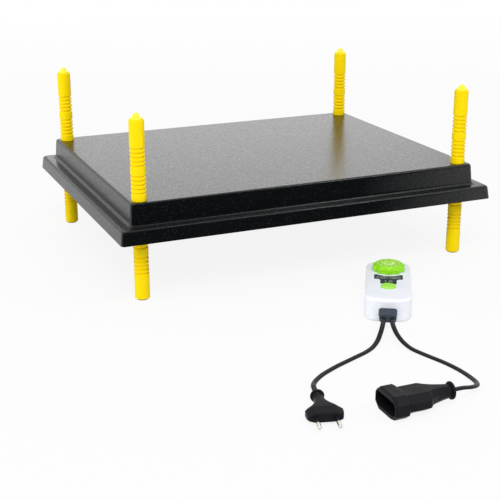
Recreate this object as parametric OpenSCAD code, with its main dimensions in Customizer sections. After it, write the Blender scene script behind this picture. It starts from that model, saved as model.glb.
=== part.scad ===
/* [Plate] */
// Width of the plate across the foot of its rim
plate_w = 500; // [440:5:560]
// Depth of the plate across the foot of its rim
plate_d = 400; // [360:5:460]
// Height of the plate from the foot of its rim to its top face
plate_h = 44; // [42:1:56]
// Height of the rim from its foot to the ledge
rim_h = 17; // [16:1:20]
// Distance of the raised block's foot from the rim's outer edge
ledge_inset = 16.7; // [16:0.1:20]
// Lean of the rim's wall over its height
rim_draft = 2.2; // [1:0.1:3]
// Lean of the block's wall over its height
block_draft = 2; // [1:0.1:3]
// Thickness of the formed shell
wall = 2.4; // [2:0.1:2.8]
// Radius of the shell's upper edges
edge_r = 3.5; // [2.5:0.1:4]
// Radius of the shell's edges on the inside
inner_edge_r = 0.8; // [0.5:0.1:1.5]
// Radius of the hollow where the block meets the ledge
fillet_r = 4; // [3:0.1:4.5]
// Radius of the upright corners
corner_r = 5; // [4:0.5:8]
// How far the rim stands below the heated face
rim_drop = 1; // [0.5:0.1:2]
// Height of the rim's foot above the floor, as the legs are set
clearance_h = 78.4; // [40:0.2:90]

/* [Base and heater] */
// Thickness of the heated base plate
base_t = 3; // [2:0.5:4]
// Gap between the base plate and the rim
base_gap = 0.4; // [0.2:0.1:1]
// Thickness of the heat spreader sheet
spreader_t = 1; // [0.5:0.1:1.5]
// Thickness of the heating film
film_t = 0.6; // [0.4:0.1:1]
// Strip of the spreader that the film leaves bare along each side
film_margin = 8; // [5:1:15]
// Thickness of the heating track
track_t = 0.4; // [0.2:0.1:0.6]
// Width of the heating track
track_w = 8; // [4:1:10]
// Runs of the heating track over the plate
track_runs = 16; // [12:2:18]
// Space between the heater's layers and the block's wall
core_gap = 4; // [3:0.5:8]
// Thickness of the insulation mat
insulation_t = 15; // [10:1:24]
// Diameter of the posts that take the base's screws
post_d = 7; // [6:0.5:8]
// Diameter of the base's screws
screw_d = 3; // [2.5:0.1:3.5]
// Length of the base's screws
screw_l = 11; // [8:0.5:12]
// Diameter of a screw's head
screw_head_d = 6; // [5:0.1:6.5]
// Height of a screw's head
screw_head_h = 2; // [1.5:0.1:2.5]

/* [Legs] */
// Outside diameter of a leg
leg_d = 18; // [16:0.5:20]
// Diameter at the bottom of a leg's grooves
groove_d = 14.4; // [13:0.2:15.4]
// Bore of a leg
leg_bore_d = 10; // [8:0.5:11]
// Plain length at the foot of a leg
leg_foot_l = 32.2; // [20:0.1:45]
// Plain length at the head of a leg
leg_head_l = 32.3; // [20:0.1:45]
// Distance from one rib to the next
rib_pitch = 5; // [4:0.1:6]
// Width of a groove at its mouth
groove_w = 2.6; // [2:0.1:3]
// Width of a groove at its bottom
groove_floor_w = 1; // [0.5:0.1:1.5]
// Height of the plain bands between the groups of ribs
band_h = 10.1; // [8:0.1:14]
// Ribs in a group
rib_count = 4; // [3:1:5]
// Groups of ribs on a leg
group_count = 5; // [4:1:6]
// Room between a leg and its guide, all round
leg_gap = 0.35; // [0.3:0.05:0.6]
// Wall of a leg's guide sleeve
guide_wall = 1.2; // [1:0.1:1.5]
// Diameter of the guide's seat on the base
guide_seat_d = 28; // [26:0.5:32]
// Thickness of the guide's seat
guide_seat_t = 2; // [1:0.5:3]
// Diameter of the cap's lip on a leg's head
cap_lip_d = 15; // [13:0.5:17]
// Height of the cap's lip
cap_lip_h = 2; // [1:0.1:3]
// Diameter of the cap's dome at its foot
cap_dome_d = 9; // [7:0.5:11]
// Height of the cap's dome
cap_dome_h = 5.3; // [3:0.1:8]
// Thickness of the pad under a leg
pad_t = 1.2; // [1:0.1:3]
// Length of the plugs of cap and pad inside a leg
plug_stem_l = 9; // [5:0.5:14]

/* [Controller] */
// Width of the controller
body_w = 54; // [50:1:60]
// Length of the controller
body_l = 128; // [124:1:140]
// Thickness of the controller
body_t = 28; // [27:0.5:32]
// Radius of the controller's corners
body_corner_r = 15.5; // [12:0.5:18]
// How far the controller's ends swell
body_bulge = 1.5; // [0.5:0.1:2]
// Height of the controller's back shell
back_h = 13; // [13:0.5:14]
// Thickness of the controller's shells
shell_t = 2; // [1.6:0.1:2.2]
// Radius of the edge round the controller's face
face_edge_r = 3; // [2.5:0.1:4]
// Radius of the edge round the controller's back
back_edge_r = 4; // [3:0.1:5]
// Place of the controller's middle to the right of the plate's middle
ctrl_x = 45; // [20:1:70]
// Place of the controller's middle in front of the plate's middle
ctrl_y = 295; // [290:1:330]
// Turn of the controller on the floor
ctrl_turn = -30; // [-35:1:-25]

/* [Dial and button] */
// Distance of the dial's centre from the controller's far end
dial_end = 28.9; // [27:0.1:32]
// Diameter of the dial over its lobes
dial_d = 39.6; // [36:0.1:42]
// Diameter of the dial's round body between the lobes
dial_root_d = 35; // [32:0.1:35.6]
// Diameter of one lobe
lobe_d = 8.4; // [7:0.1:9]
// Lobes round the dial
lobe_count = 10; // [8:1:12]
// Height of the dial
dial_h = 8; // [6:0.5:10]
// Diameter of the light disc on the dial
dial_face_d = 28; // [24:0.5:30]
// Thickness of the light disc
dial_face_t = 0.8; // [0.5:0.1:1.2]
// Diameter of the dial's spindle
spindle_d = 6; // [5:0.1:6.5]
// Distance from the dial's centre to the button's centre
button_pitch = 57.6; // [56:0.1:60]
// Diameter of the button
button_d = 17.4; // [15:0.1:18]
// How far the button stands out of the face
button_rise = 2; // [1.8:0.1:3]
// Width of the panel's upper part
panel_w = 33.7; // [30:0.1:36]
// Width of the panel's lower part
panel_neck_w = 19.1; // [17:0.1:21]
// From the button's middle up to the panel's lower edge
panel_foot = 8.7; // [8:0.1:9.5]
// Length of the panel's upper part
panel_head_l = 14.8; // [13:0.1:16]
// Thickness of the panel
panel_t = 0.8; // [0.6:0.1:1]

/* [Leads] */
// Width of the flat leads
lead_w = 5.4; // [5:0.1:6]
// Thickness of the flat leads
lead_t = 3.4; // [3:0.1:3.5]
// Width of the cord boot at the controller
boot_w = 21; // [20:0.5:23]
// Width of the cord boot at the leads
boot_end_w = 18.5; // [17:0.5:20]
// Thickness of the cord boot at the controller
boot_t = 11; // [10:0.5:12]
// Thickness of the cord boot at the leads
boot_end_t = 9.6; // [9:0.2:10]
// Length of the plug from its collar to its face
plug_l = 47; // [42:0.5:52]
// Width of the plug
plug_w = 36; // [34:0.5:38]
// Thickness of the plug
plug_t = 14; // [13.8:0.1:14]
// Diameter of the plug's pins
pin_d = 4; // [3.8:0.1:4.2]
// Length of the plug's pins
pin_l = 19; // [18:0.5:20]
// Distance between the plug's pins
pin_pitch = 19; // [18:0.1:19.5]
// Length of the coupler from its collar to its mouth
coupler_l = 72.5; // [68:0.5:78]
// Width of the coupler's body
coupler_w = 37; // [35:0.5:39]
// Width of the coupler's mouth block
mouth_w = 43; // [42:0.5:46]
// Length of the coupler's mouth block
mouth_l = 16.6; // [15:0.1:19]
// Thickness of the coupler's mouth block
mouth_t = 24; // [23.8:0.1:24]

/* [Hidden] */
$fn = 72;
// How far a cut runs past the face it opens
overrun = 1;

corners = [["front_left", -1, -1], ["front_right", 1, -1], ["back_left", -1, 1], ["back_right", 1, 1]];
leg_pieces = ["leg", "leg_cap", "leg_pad", "leg_guide"];

black = "#1c1d1f";
yellow = "#ffd800";
white = "#f0f3fa";
metal = "#b9bcc0";
brass = "#c9a44a";
foam = "#e9e6da";

// Heights of the plate, from its heated face
floor_z = -rim_drop - clearance_h;
ledge_z = rim_h - rim_drop;
top_z = plate_h - rim_drop;
block_h = plate_h - rim_h;
under_top_z = top_z - wall;
under_ledge_z = ledge_z - wall;
spreader_z = base_t;
film_z = spreader_z + spreader_t;
track_z = film_z + film_t;
insulation_z = track_z + track_t;

// The shell's section, as distance inwards from the rim's foot, and height
arc_steps = 4;
inner_arc_steps = 2;
corner_steps = 5;
rim_lean = rim_draft / rim_h;
block_lean = block_draft / block_h;
far_inset = plate_d / 2;
shell_corners = [
  [0, -rim_drop], [rim_draft, ledge_z], [ledge_inset, ledge_z],
  [ledge_inset + block_draft, top_z], [far_inset, top_z]];
lining_corners = [
  [wall, -rim_drop], [wall + rim_draft - rim_lean * wall, under_ledge_z],
  [wall + ledge_inset - block_lean * wall, under_ledge_z],
  [wall + ledge_inset + block_draft - block_lean * wall, under_top_z], [far_inset, under_top_z]];
shell_section = section(shell_corners, [edge_r, fillet_r, edge_r], arc_steps);
lining_section = section(lining_corners, [inner_edge_r, fillet_r + wall, inner_edge_r], inner_arc_steps);

// Legs and their guides
leg_r = leg_d / 2;
leg_hole_r = leg_r + leg_gap;
guide_r = leg_hole_r + guide_wall;
leg_inset = ledge_inset + block_draft + wall + inner_edge_r + guide_r;
leg_x = plate_w / 2 - leg_inset;
leg_y = plate_d / 2 - leg_inset;
groove_slope = (groove_w - groove_floor_w) / 2;
group_h = rib_count * rib_pitch + groove_w;
group_pitch = group_h + band_h;
leg_l = leg_foot_l + group_count * group_h + (group_count - 1) * band_h + leg_head_l;
stem_gap = 0.05;
stem_r = leg_bore_d / 2 - stem_gap;
leg_foot_round = 1.2;
leg_head_round = 1.6;
cap_lip_round = 0.5;
cap_dome_steps = 8;
pad_inset = 0.8;

// Base, posts and screws
base_inset = wall + rim_lean * (rim_drop + base_t) + base_gap;
post_inset = (lining_corners[1].x + lining_corners[2].x - fillet_r - wall + inner_edge_r) / 2;
post_x_shares = [-0.36, -0.12, 0.12, 0.36];
post_y_shares = [-0.28, 0, 0.28];
post_places = concat(
  [for (s = post_x_shares, e = [-1, 1]) [s * plate_w, e * (plate_d / 2 - post_inset)]],
  [for (s = post_y_shares, e = [-1, 1]) [e * (plate_w / 2 - post_inset), s * plate_d]]);
screw_gap = 0.1;
recess_l = 3.2;
recess_w = 0.9;
recess_h = 1.1;

// Heater layers and the wiring pocket behind them
core_w = plate_w - 2 * (ledge_inset + wall + core_gap);
core_d = plate_d - 2 * (ledge_inset + wall + core_gap);
guide_room = 1.5;
pocket_w = 70;
terminal_w = 34;
terminal_d = 20;
terminal_h = 15;
terminal_pitch = 10;
terminal_setback = 19;
terminal_bore_d = 4;
terminal_bore_h = 6;
terminal_screw_d = 3.4;
terminal_screw_l = 4;
terminal_y = core_d / 2 - terminal_setback;
terminal_screw_y = terminal_d / 4;
cutout_w = 8;
cutout_l = 16;
cutout_h = 5;
wire_d = 2.4;
wire_run = 3;
wire_span = 10;
wire_sides = 8;
cutout_y = terminal_y - terminal_d / 2 - wire_span - cutout_l / 2;
rivet_d = 6;
rivet_h = 5;
rivet_y = cutout_y - cutout_l / 2 - wire_span;
wire_end_gap = 0.1;
pocket_front = rivet_y - rivet_d;
track_reach_x = leg_x - guide_seat_d / 2 - guide_room;
track_reach_y = leg_y - guide_seat_d / 2;
track_step = (2 * track_reach_x - track_w) / (track_runs - 1);
track_back = rivet_y - 2 * track_w;

// Cord inlet in the back wall
gland_tilt = atan(block_lean);
gland_z = ledge_z + block_h / 2;
gland_y = plate_d / 2 - ledge_inset - block_draft / 2;
gland_hex_d = 19;
gland_hex_t = 4;
gland_stem_d = 12;
gland_stem_l = 12;
gland_bore_d = 7;
gland_cap_d = 15;
gland_cap_l = 10;
gland_cap_round = 3;
gland_cap_bore_d = 8;
gland_nut_t = 4;
gland_gap = 0.1;

// Controller shells
body_arc_steps = 4;
body_inner_steps = 2;
body_corner_steps = 6;
bulge_steps = 3;
face_z = body_t;
face_under_z = body_t - shell_t;
body_mid = body_w / 2;
shell_inner_r = 1.5;
back_section = concat(
  rounded([body_mid, 0], [0, 0], [0, back_h], back_edge_r, body_arc_steps), [[0, back_h], [shell_t, back_h]],
  rounded([shell_t, back_h], [shell_t, shell_t], [body_mid, shell_t], shell_inner_r, body_inner_steps));
front_section = concat(
  rounded([body_mid, face_under_z], [shell_t, face_under_z], [shell_t, back_h],
    shell_inner_r, body_inner_steps),
  [[shell_t, back_h], [0, back_h]],
  rounded([0, back_h], [0, face_z], [body_mid, face_z], face_edge_r, body_arc_steps));
boss_x = 18;
boss_end = 13;
boss_y = body_l / 2 - boss_end;
boss_d = 6.4;
boss_screw_d = 2.6;
boss_screw_l = 15;
boss_tip_gap = 1;
boss_hole_top = boss_screw_l + boss_tip_gap;
boss_head_d = 5;
boss_head_h = 2;
board_w = 42;
board_t = 1.6;
board_z = 9;
board_top = board_z + board_t;
peg_x = 16;
peg_margin = 5;
peg_d = 4;
part_gap = 0.3;

// Dial, button and panel
dial_y = body_l / 2 - dial_end;
dial_gap = 0.5;
dial_z = face_z + dial_gap;
dial_top = dial_z + dial_h;
dial_rim_drop = 2.2;
dial_rim_d = 31;
spindle_hole_d = 8;
spindle_gap = 0.05;
spindle_sink = 1.4;
pot_d = 17;
pot_h = 8;
pot_bush_d = 9;
pot_bush_h = 4;
spindle_foot = 2;
button_y = dial_y - button_pitch;
button_gap = 0.3;
button_top = face_z + button_rise;
button_crown = 0.6;
button_edge = 1;
button_travel = 1.5;
button_skirt_d = 20.4;
button_skirt_t = 1.4;
button_stem_d = 5;
switch_w = 12;
switch_h = 9;
stem_depth = 2.5;
panel_drop = 18.5;
panel_top = dial_y - panel_drop;
panel_bottom = button_y + panel_foot;
panel_l = panel_top - panel_bottom;
panel_dial_gap = 3.4;
panel_button_gap = 2.3;
panel_shoulder_r = 5;
panel_sink = 0.5;
panel_gap = 0.1;

// Dimmer pieces on the board, placed from the dial and the button
triac_w = 10;
triac_t = 4.6;
triac_h = 9;
triac_tab_t = 1.3;
triac_tab_h = 14;
triac_x = -14;
row_rise = 12.5;
triac_y = button_y + row_rise;
capacitor_w = 17;
capacitor_t = 8;
capacitor_h = 11;
capacitor_x = 7;
capacitor_drop = 21.1;
capacitor_y = dial_y - capacitor_drop;
fuse_d = 5.2;
fuse_l = 20;
fuse_cap_l = 5;
fuse_x = 14;
fuse_y = button_y + row_rise;
fuse_rise = 0.8;
choke_d = 15;
choke_eye_d = 6;
choke_h = 6;
choke_x = -11;
choke_drop = 29.1;
choke_y = dial_y - choke_drop;
choke_base_h = 1.2;

// Cord boot and leads
cord_z = back_h;
boot_l = 18.5;
boot_neck_w = 15;
boot_neck_t = 8;
boot_gap = 0.3;
boot_seat_w = 19;
boot_seat_t = 10;
boot_seat_l = 2.5;
boot_y = body_l / 2 + body_bulge + boot_gap;
boot_end_y = boot_y + boot_l;
core_wire_d = 2;
core_wire_pitch = 4.6;
core_wire_shares = [-1.5, -0.5, 0.5, 1.5];
core_wire_rise = 1.2;
lead_sides = 10;

// The board lies between the boot's seat and the dial, and the wires from the boot land on it
boot_seat_y = -body_l / 2 + shell_t + boot_gap;
wire_seat_y = boot_seat_y + boot_seat_l;
switch_way = button_y - switch_w / 2 - wire_seat_y;
board_start_share = 0.53;
wire_land_share = 0.79;
board_dial_margin = 7.9;
board_front = wire_seat_y + switch_way * board_start_share;
board_back = dial_y + board_dial_margin;
wire_land = wire_seat_y + switch_way * wire_land_share;

// Routes of the leads from the boot's end, in the controller's own axes, with height over the floor
mains_route = [
  [-5, 0, 13], [-5, -9.5, 13], [-6, -20.5, 11.6], [-8, -32.5, 8.2], [-11, -44.5, 4.6], [-16, -56.5, 2.3],
  [-23, -68.5, 1.8], [-32, -80.5, 1.8], [-41, -92.5, 1.8], [-50, -104.5, 1.8], [-58, -116.5, 1.8],
  [-65, -128.5, 1.8], [-70, -141.5, 2.2], [-72, -154.5, 4], [-71.5, -165.5, 6.2], [-69.5, -175.5, 7],
  [-67, -185.5, 7]];
outlet_route = [
  [5, 0, 13], [5, -9.5, 13], [6.5, -20.5, 11.6], [10.5, -32.5, 8.2], [17, -44, 4.6], [25.5, -54.5, 2.3],
  [36, -64.5, 1.8], [47, -74.5, 1.8], [58, -84.5, 1.8], [68, -95.5, 1.8], [77, -107.5, 1.8],
  [84, -120.5, 2.2], [87.5, -133.5, 4], [86.5, -146.5, 7], [80.5, -157, 10], [71.4, -164, 12],
  [61, -170, 12]];

// Plug: half widths along its length, and its section, as shares
plug_collar_d = 14;
plug_collar_l = 2.6;
plug_neck_d = 10.4;
plug_neck_l = 14;
plug_groove_d = 8.8;
plug_groove_l = 2;
plug_groove_y = 7;
plug_outline_shares = [
  [0.22, 0.29], [0.42, 0.36], [0.56, 0.56], [0.68, 0.86], [0.76, 1], [0.9, 0.98], [1, 0.88]];
plug_flat_share = 0.62;
plug_edge_share = 0.42;
sleeve_l = 10;
sleeve_d = 3.5;
sleeve_bore_d = 2.6;
sleeve_gap = 0.05;
pin_root_l = 8;
pin_tip_round = 1;

// Coupler: half widths along its length, and its section, as shares
coupler_collar_d = 18;
coupler_collar_l = 2.6;
coupler_outline_shares = [[0.02, 0.33], [0.16, 0.4], [0.28, 0.52], [0.38, 0.72], [0.45, 1], [0.8, 1]];
coupler_neck_d = 12;
coupler_waist_t = 19;
coupler_flat_share = 0.56;
coupler_edge_share = 0.4;
mouth_flat_share = 0.62;
mouth_edge_share = 0.45;
mouth_bevel = 2.5;
recess_face_w = 36.6;
recess_face_t = 14.6;
recess_depth = 12;
contact_l = 16;
contact_wall = 0.5;
contact_gap = 0.05;

function unit(v) = v / norm(v);
function turned(v, a) = [v.x * cos(a) - v.y * sin(a), v.x * sin(a) + v.y * cos(a)];
function reversed(list) = [for (i = [len(list) - 1:-1:0]) list[i]];

// Points of the arc of radius r that rounds the corner p between its neighbours a and b
function rounded(a, p, b, r, steps) =
  let (u = unit(a - p), w = unit(b - p), half = acos(u * w) / 2,
       centre = p + unit(u + w) * r / sin(half),
       first = p + u * r / tan(half) - centre,
       sweep = -sign(cross(u, w)) * (180 - 2 * half))
  [for (i = [0:steps]) centre + turned(first, sweep * i / steps)];

// A line through the corners, each rounded but the first, with the last giving only a direction
function section(points, radii, steps) = concat(
  [points[0]],
  [for (i = [0:len(radii) - 1]) each rounded(points[i], points[i + 1], points[i + 2], radii[i], steps)]);

// A level ring of points round a rectangle with round corners and, where asked, swollen ends
function ring(half_w, half_d, r, z, steps, bulge = 0, extra = 0) = [
  for (c = [[1, 1, 0], [-1, 1, 1], [-1, -1, 2], [1, -1, 3]]) each concat(
    [for (i = [0:steps]) let (a = 90 * (c.z + i / steps))
      [c.x * (half_w - r) + r * cos(a), c.y * (half_d - r) + r * sin(a), z]],
    c.x == c.y ? [for (j = [1:1:extra]) let (s = 1 - 2 * j / (extra + 1))
      [c.x * s * (half_w - r), c.y * (half_d + bulge * (1 - s * s)), z]] : [])];

// Rings of a plate or a controller that follow a section of inset and height
function plate_rings(line) =
  [for (p = line) ring(plate_w / 2 - p.x, plate_d / 2 - p.x, corner_r, p.y, corner_steps)];
function body_rings(line) = [for (p = line)
  ring(body_w / 2 - p.x, body_l / 2 - p.x, body_corner_r - p.x, p.y,
    body_corner_steps, body_bulge, bulge_steps)];

// Rings of an oval tube along a route, held level
function route_turn(route, i) =
  unit(route[min(i + 1, len(route) - 1)] - route[max(i - 1, 0)]);
function tube_rings(route, w, t, sides) = [
  for (i = [0:len(route) - 1])
    let (run = route_turn(route, i), side = unit(cross(run, [0, 0, 1])), rise = cross(side, run))
    [for (k = [0:sides - 1]) let (a = 360 * (k + 0.5) / sides)
      route[i] + side * cos(a) * w / 2 + rise * sin(a) * t / 2]];

// A closed skin over a row of rings with as many points each
module loft(rings) {
  n = len(rings[0]);
  last = (len(rings) - 1) * n;
  sides = [
    for (k = [0:len(rings) - 2], i = [0:n - 1])
      let (a = k * n + i, b = k * n + (i + 1) % n)
      each [[a, a + n, b], [b, a + n, b + n]]];
  polyhedron(
    [for (r = rings) each r],
    concat([[for (i = [0:n - 1]) i]], sides, [[for (i = [n - 1:-1:0]) last + i]]));
}

module rounded_slab(w, d, r, h) {
  linear_extrude(h) union() {
    square([w - 2 * r, d], center = true);
    square([w, d - 2 * r], center = true);
    for (x = [-1, 1], y = [-1, 1]) translate([x * (w / 2 - r), y * (d / 2 - r)]) circle(r);
  }
}

module slab(w, d, h) {
  translate([-w / 2, -d / 2, 0]) cube([w, d, h]);
}

module at_legs() {
  for (c = corners) translate([c[1] * leg_x, c[2] * leg_y, 0]) children();
}

module at_posts() {
  for (p = post_places) translate([p.x, p.y, 0]) children();
}

module cross_recess() {
  translate([0, 0, -overrun]) {
    slab(recess_l, recess_w, recess_h + overrun);
    slab(recess_w, recess_l, recess_h + overrun);
  }
}

// The gland's own axes: z runs out of the back wall, from the wall's outer face
module at_gland() {
  translate([0, gland_y, gland_z]) rotate([gland_tilt - 90, 0, 0]) children();
}

module top_shell() color(black) difference() {
  loft(plate_rings(concat(reversed(lining_section), shell_section)));
  translate([0, 0, under_top_z - overrun]) at_legs() cylinder(r = leg_hole_r, h = wall + 2 * overrun);
  at_gland() translate([0, 0, -wall - overrun])
    cylinder(d = gland_stem_d + 2 * gland_gap, h = wall + 2 * overrun);
}

module bottom_plate() color(black) difference() {
  rounded_slab(plate_w - 2 * base_inset, plate_d - 2 * base_inset, corner_r, base_t);
  translate([0, 0, -overrun]) {
    at_legs() cylinder(r = leg_hole_r, h = base_t + 2 * overrun);
    at_posts() cylinder(d = screw_d + 2 * screw_gap, h = base_t + 2 * overrun);
  }
  at_posts() cylinder(r1 = screw_head_d / 2 + screw_gap, r2 = screw_d / 2 + screw_gap, h = screw_head_h);
}

module fixing_posts() color(black) at_posts() translate([0, 0, base_t]) difference() {
  cylinder(d = post_d, h = under_ledge_z - base_t);
  translate([0, 0, -overrun]) cylinder(d = screw_d + 2 * screw_gap, h = screw_l - base_t + 2 * overrun);
}

module base_screws() color(metal) at_posts() difference() {
  union() {
    cylinder(r1 = screw_head_d / 2, r2 = screw_d / 2, h = screw_head_h);
    cylinder(d = screw_d, h = screw_l);
  }
  cross_recess();
}

module core_layer(z, t, margin) {
  translate([0, 0, z]) difference() {
    slab(core_w - 2 * margin, core_d - 2 * margin, t);
    translate([0, 0, -overrun]) at_legs() cylinder(r = guide_seat_d / 2 + guide_room, h = t + 2 * overrun);
  }
}

module heat_spreader() color(metal) core_layer(spreader_z, spreader_t, 0);

module heating_film() color("#7a4a1e") core_layer(film_z, film_t, film_margin);

// The side of a band along a line of points, with mitred corners
function line_normal(line, i) = turned(unit(line[i + 1] - line[i]), 90);
function band_side(line, half_w) = [
  for (i = [0:len(line) - 1])
    let (a = line_normal(line, max(i - 1, 0)), b = line_normal(line, min(i, len(line) - 2)))
    line[i] + (a + b) * half_w / (1 + a * b)];

// The track runs up and down the film, from one rivet to the other
track_end = terminal_pitch - track_w / 2;
track_line = concat(
  [[-track_end, rivet_y]],
  [for (i = [0:track_runs - 1])
    let (x = -track_reach_x + track_w / 2 + i * track_step,
         back = [x, i == 0 || i == track_runs - 1 ? rivet_y : track_back], front = [x, -track_reach_y])
    each i % 2 == 0 ? [back, front] : [front, back]],
  [[track_end, rivet_y]]);

module heating_track() color("#b8793a") translate([0, 0, track_z]) linear_extrude(track_t)
  polygon(concat(band_side(track_line, track_w / 2), reversed(band_side(track_line, -track_w / 2))));

module film_terminals() color(brass) for (e = [-1, 1])
  translate([e * terminal_pitch, rivet_y, insulation_z]) cylinder(d = rivet_d, h = rivet_h);

module insulation_mat() color(foam) difference() {
  translate([0, 0, insulation_z]) slab(core_w, core_d, insulation_t);
  translate([0, 0, insulation_z - overrun]) {
    at_legs() cylinder(r = guide_seat_d / 2 + guide_room, h = insulation_t + 2 * overrun);
    translate([-pocket_w / 2, pocket_front, 0]) cube([pocket_w, core_d, insulation_t + 2 * overrun]);
  }
}

module thermal_cutout() color(metal)
  translate([-terminal_pitch, cutout_y, track_z]) slab(cutout_w, cutout_l, cutout_h);

module terminal_block() color(white) translate([0, terminal_y, track_z]) difference() {
  slab(terminal_w, terminal_d, terminal_h);
  for (p = [-1, 0, 1]) translate([p * terminal_pitch, 0, 0]) {
    translate([0, terminal_d / 2 + overrun, terminal_bore_h]) rotate([90, 0, 0])
      cylinder(d = terminal_bore_d, h = terminal_d / 2 - wire_run + overrun);
    for (e = [-1, 1]) translate([0, e * terminal_screw_y, terminal_h - terminal_screw_l])
      cylinder(d = terminal_screw_d, h = terminal_screw_l + overrun);
  }
}

module terminal_screws() color(brass) for (p = [-1, 0, 1], e = [-1, 1])
  translate([p * terminal_pitch, terminal_y + e * terminal_screw_y, track_z + terminal_h - terminal_screw_l])
    cylinder(d = terminal_screw_d - 2 * screw_gap, h = terminal_screw_l - screw_head_h);

module wire(route) loft(tube_rings(route, wire_d, wire_d, wire_sides));

module plate_wires() color("#8a1f1f") {
  front = terminal_y - terminal_d / 2;
  high = track_z + terminal_bore_h;
  low = track_z + cutout_h / 2;
  rivet_face = rivet_y + rivet_d / 2 + wire_end_gap;
  cutout_back = cutout_y + cutout_l / 2;
  cutout_front = cutout_y - cutout_l / 2;
  wire([[-terminal_pitch, cutout_back, low], [-terminal_pitch, cutout_back + wire_run, low],
        [-terminal_pitch, front - wire_run, high], [-terminal_pitch, front, high]]);
  wire([[-terminal_pitch, rivet_face, low], [-terminal_pitch, cutout_front, low]]);
  wire([[terminal_pitch, rivet_face, low], [terminal_pitch, cutout_back + wire_run, low],
        [terminal_pitch, front - wire_run, high], [terminal_pitch, front, high]]);
}

module inlet_gland() color(black) at_gland() difference() {
  union() {
    cylinder(d = gland_hex_d, h = gland_hex_t, $fn = 6);
    translate([0, 0, -gland_stem_l]) cylinder(d = gland_stem_d, h = gland_stem_l + overrun);
  }
  translate([0, 0, -gland_stem_l - overrun])
    cylinder(d = gland_bore_d, h = gland_stem_l + gland_hex_t + 2 * overrun);
}

module gland_cap() color(black) at_gland() translate([0, 0, gland_hex_t]) rotate_extrude() polygon([
  [gland_cap_bore_d / 2, 0], [gland_cap_d / 2, 0], [gland_cap_d / 2, gland_cap_l - gland_cap_round],
  [gland_cap_d / 2 - gland_cap_round, gland_cap_l], [gland_cap_bore_d / 2, gland_cap_l]]);

module gland_nut() color(black) at_gland() translate([0, 0, -wall - gland_nut_t]) difference() {
  cylinder(d = gland_hex_d, h = gland_nut_t, $fn = 6);
  translate([0, 0, -overrun]) cylinder(d = gland_stem_d + 2 * gland_gap, h = gland_nut_t + 2 * overrun);
}

module at_corner(c) {
  translate([c[1] * leg_x, c[2] * leg_y, floor_z]) children();
}

function groove(z) = [
  [leg_r, z], [groove_d / 2, z + groove_slope],
  [groove_d / 2, z + groove_w - groove_slope], [leg_r, z + groove_w]];

module leg(c) color(yellow) at_corner(c) rotate_extrude() polygon(concat(
  [[leg_bore_d / 2, pad_t], [leg_r - leg_foot_round, pad_t], [leg_r, pad_t + leg_foot_round]],
  [for (g = [0:group_count - 1], i = [0:rib_count])
    each groove(leg_foot_l + g * group_pitch + i * rib_pitch)],
  [[leg_r, leg_l - leg_head_round], [leg_r - leg_head_round, leg_l], [leg_bore_d / 2, leg_l]]));

module leg_cap(c) color("#ffe45c") at_corner(c) translate([0, 0, leg_l]) rotate_extrude() polygon([
  [0, -plug_stem_l], [stem_r, -plug_stem_l], [stem_r, 0], [cap_lip_d / 2, 0],
  [cap_lip_d / 2, cap_lip_h - cap_lip_round], [cap_lip_d / 2 - cap_lip_round, cap_lip_h],
  for (i = [0:cap_dome_steps]) let (a = 90 * i / cap_dome_steps)
    [cap_dome_d / 2 * cos(a), cap_lip_h + cap_dome_h * sin(a)]]);

module leg_pad(c) color(black) at_corner(c) rotate_extrude() polygon([
  [0, 0], [leg_r - leg_foot_round - pad_inset, 0], [leg_r - leg_foot_round, pad_t], [stem_r, pad_t],
  [stem_r, pad_t + plug_stem_l], [0, pad_t + plug_stem_l]]);

module leg_guide(c) color(black) translate([c[1] * leg_x, c[2] * leg_y, 0]) rotate_extrude() polygon([
  [leg_hole_r, base_t], [guide_seat_d / 2, base_t], [guide_seat_d / 2, base_t + guide_seat_t],
  [guide_r, base_t + guide_seat_t], [guide_r, under_top_z], [leg_hole_r, under_top_z]]);

// The controller's own axes: x across it, y towards its dial end, z up from the floor
module at_controller() {
  translate([ctrl_x, -ctrl_y, floor_z]) rotate(ctrl_turn) children();
}

module at_bosses() {
  for (x = [-1, 1], y = [-1, 1]) translate([x * boss_x, y * boss_y, 0]) children();
}

module boot_way() {
  translate([0, -body_l / 2, cord_z - boot_neck_t / 2 - boot_gap])
    slab(boot_neck_w + 2 * boot_gap, 2 * (body_bulge + shell_t + overrun), boot_neck_t + 2 * boot_gap);
}

module controller_back() color(white) at_controller() difference() {
  union() {
    loft(body_rings(back_section));
    translate([0, 0, shell_t / 2]) {
      at_bosses() cylinder(d = boss_d, h = back_h - shell_t / 2);
      for (x = [-1, 1], y = [board_front + peg_margin, board_back - peg_margin])
        translate([x * peg_x, y, 0]) cylinder(d = peg_d, h = board_z - shell_t / 2);
    }
  }
  translate([0, 0, -overrun]) at_bosses() {
    cylinder(d = boss_screw_d + 2 * screw_gap, h = back_h + 2 * overrun);
    cylinder(d = boss_head_d + 2 * screw_gap, h = boss_head_h + overrun);
  }
  boot_way();
}

module panel_outline(grow) difference() {
  union() {
    translate([-panel_w / 2 - grow, panel_top - panel_head_l - grow])
      square([panel_w + 2 * grow, panel_head_l + 2 * grow]);
    translate([-panel_neck_w / 2 - grow, panel_bottom - grow]) square([panel_neck_w + 2 * grow, panel_l]);
    difference() {
      translate([-panel_neck_w / 2 - panel_shoulder_r, panel_top - panel_head_l - panel_shoulder_r])
        square([panel_neck_w + 2 * panel_shoulder_r, panel_shoulder_r]);
      for (e = [-1, 1])
        translate([e * (panel_neck_w / 2 + panel_shoulder_r), panel_top - panel_head_l - panel_shoulder_r])
          circle(panel_shoulder_r - grow);
    }
  }
  translate([0, dial_y]) circle(d = dial_d + 2 * panel_dial_gap - 2 * grow);
  translate([0, button_y]) circle(d = button_d + 2 * panel_button_gap - 2 * grow);
}

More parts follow.
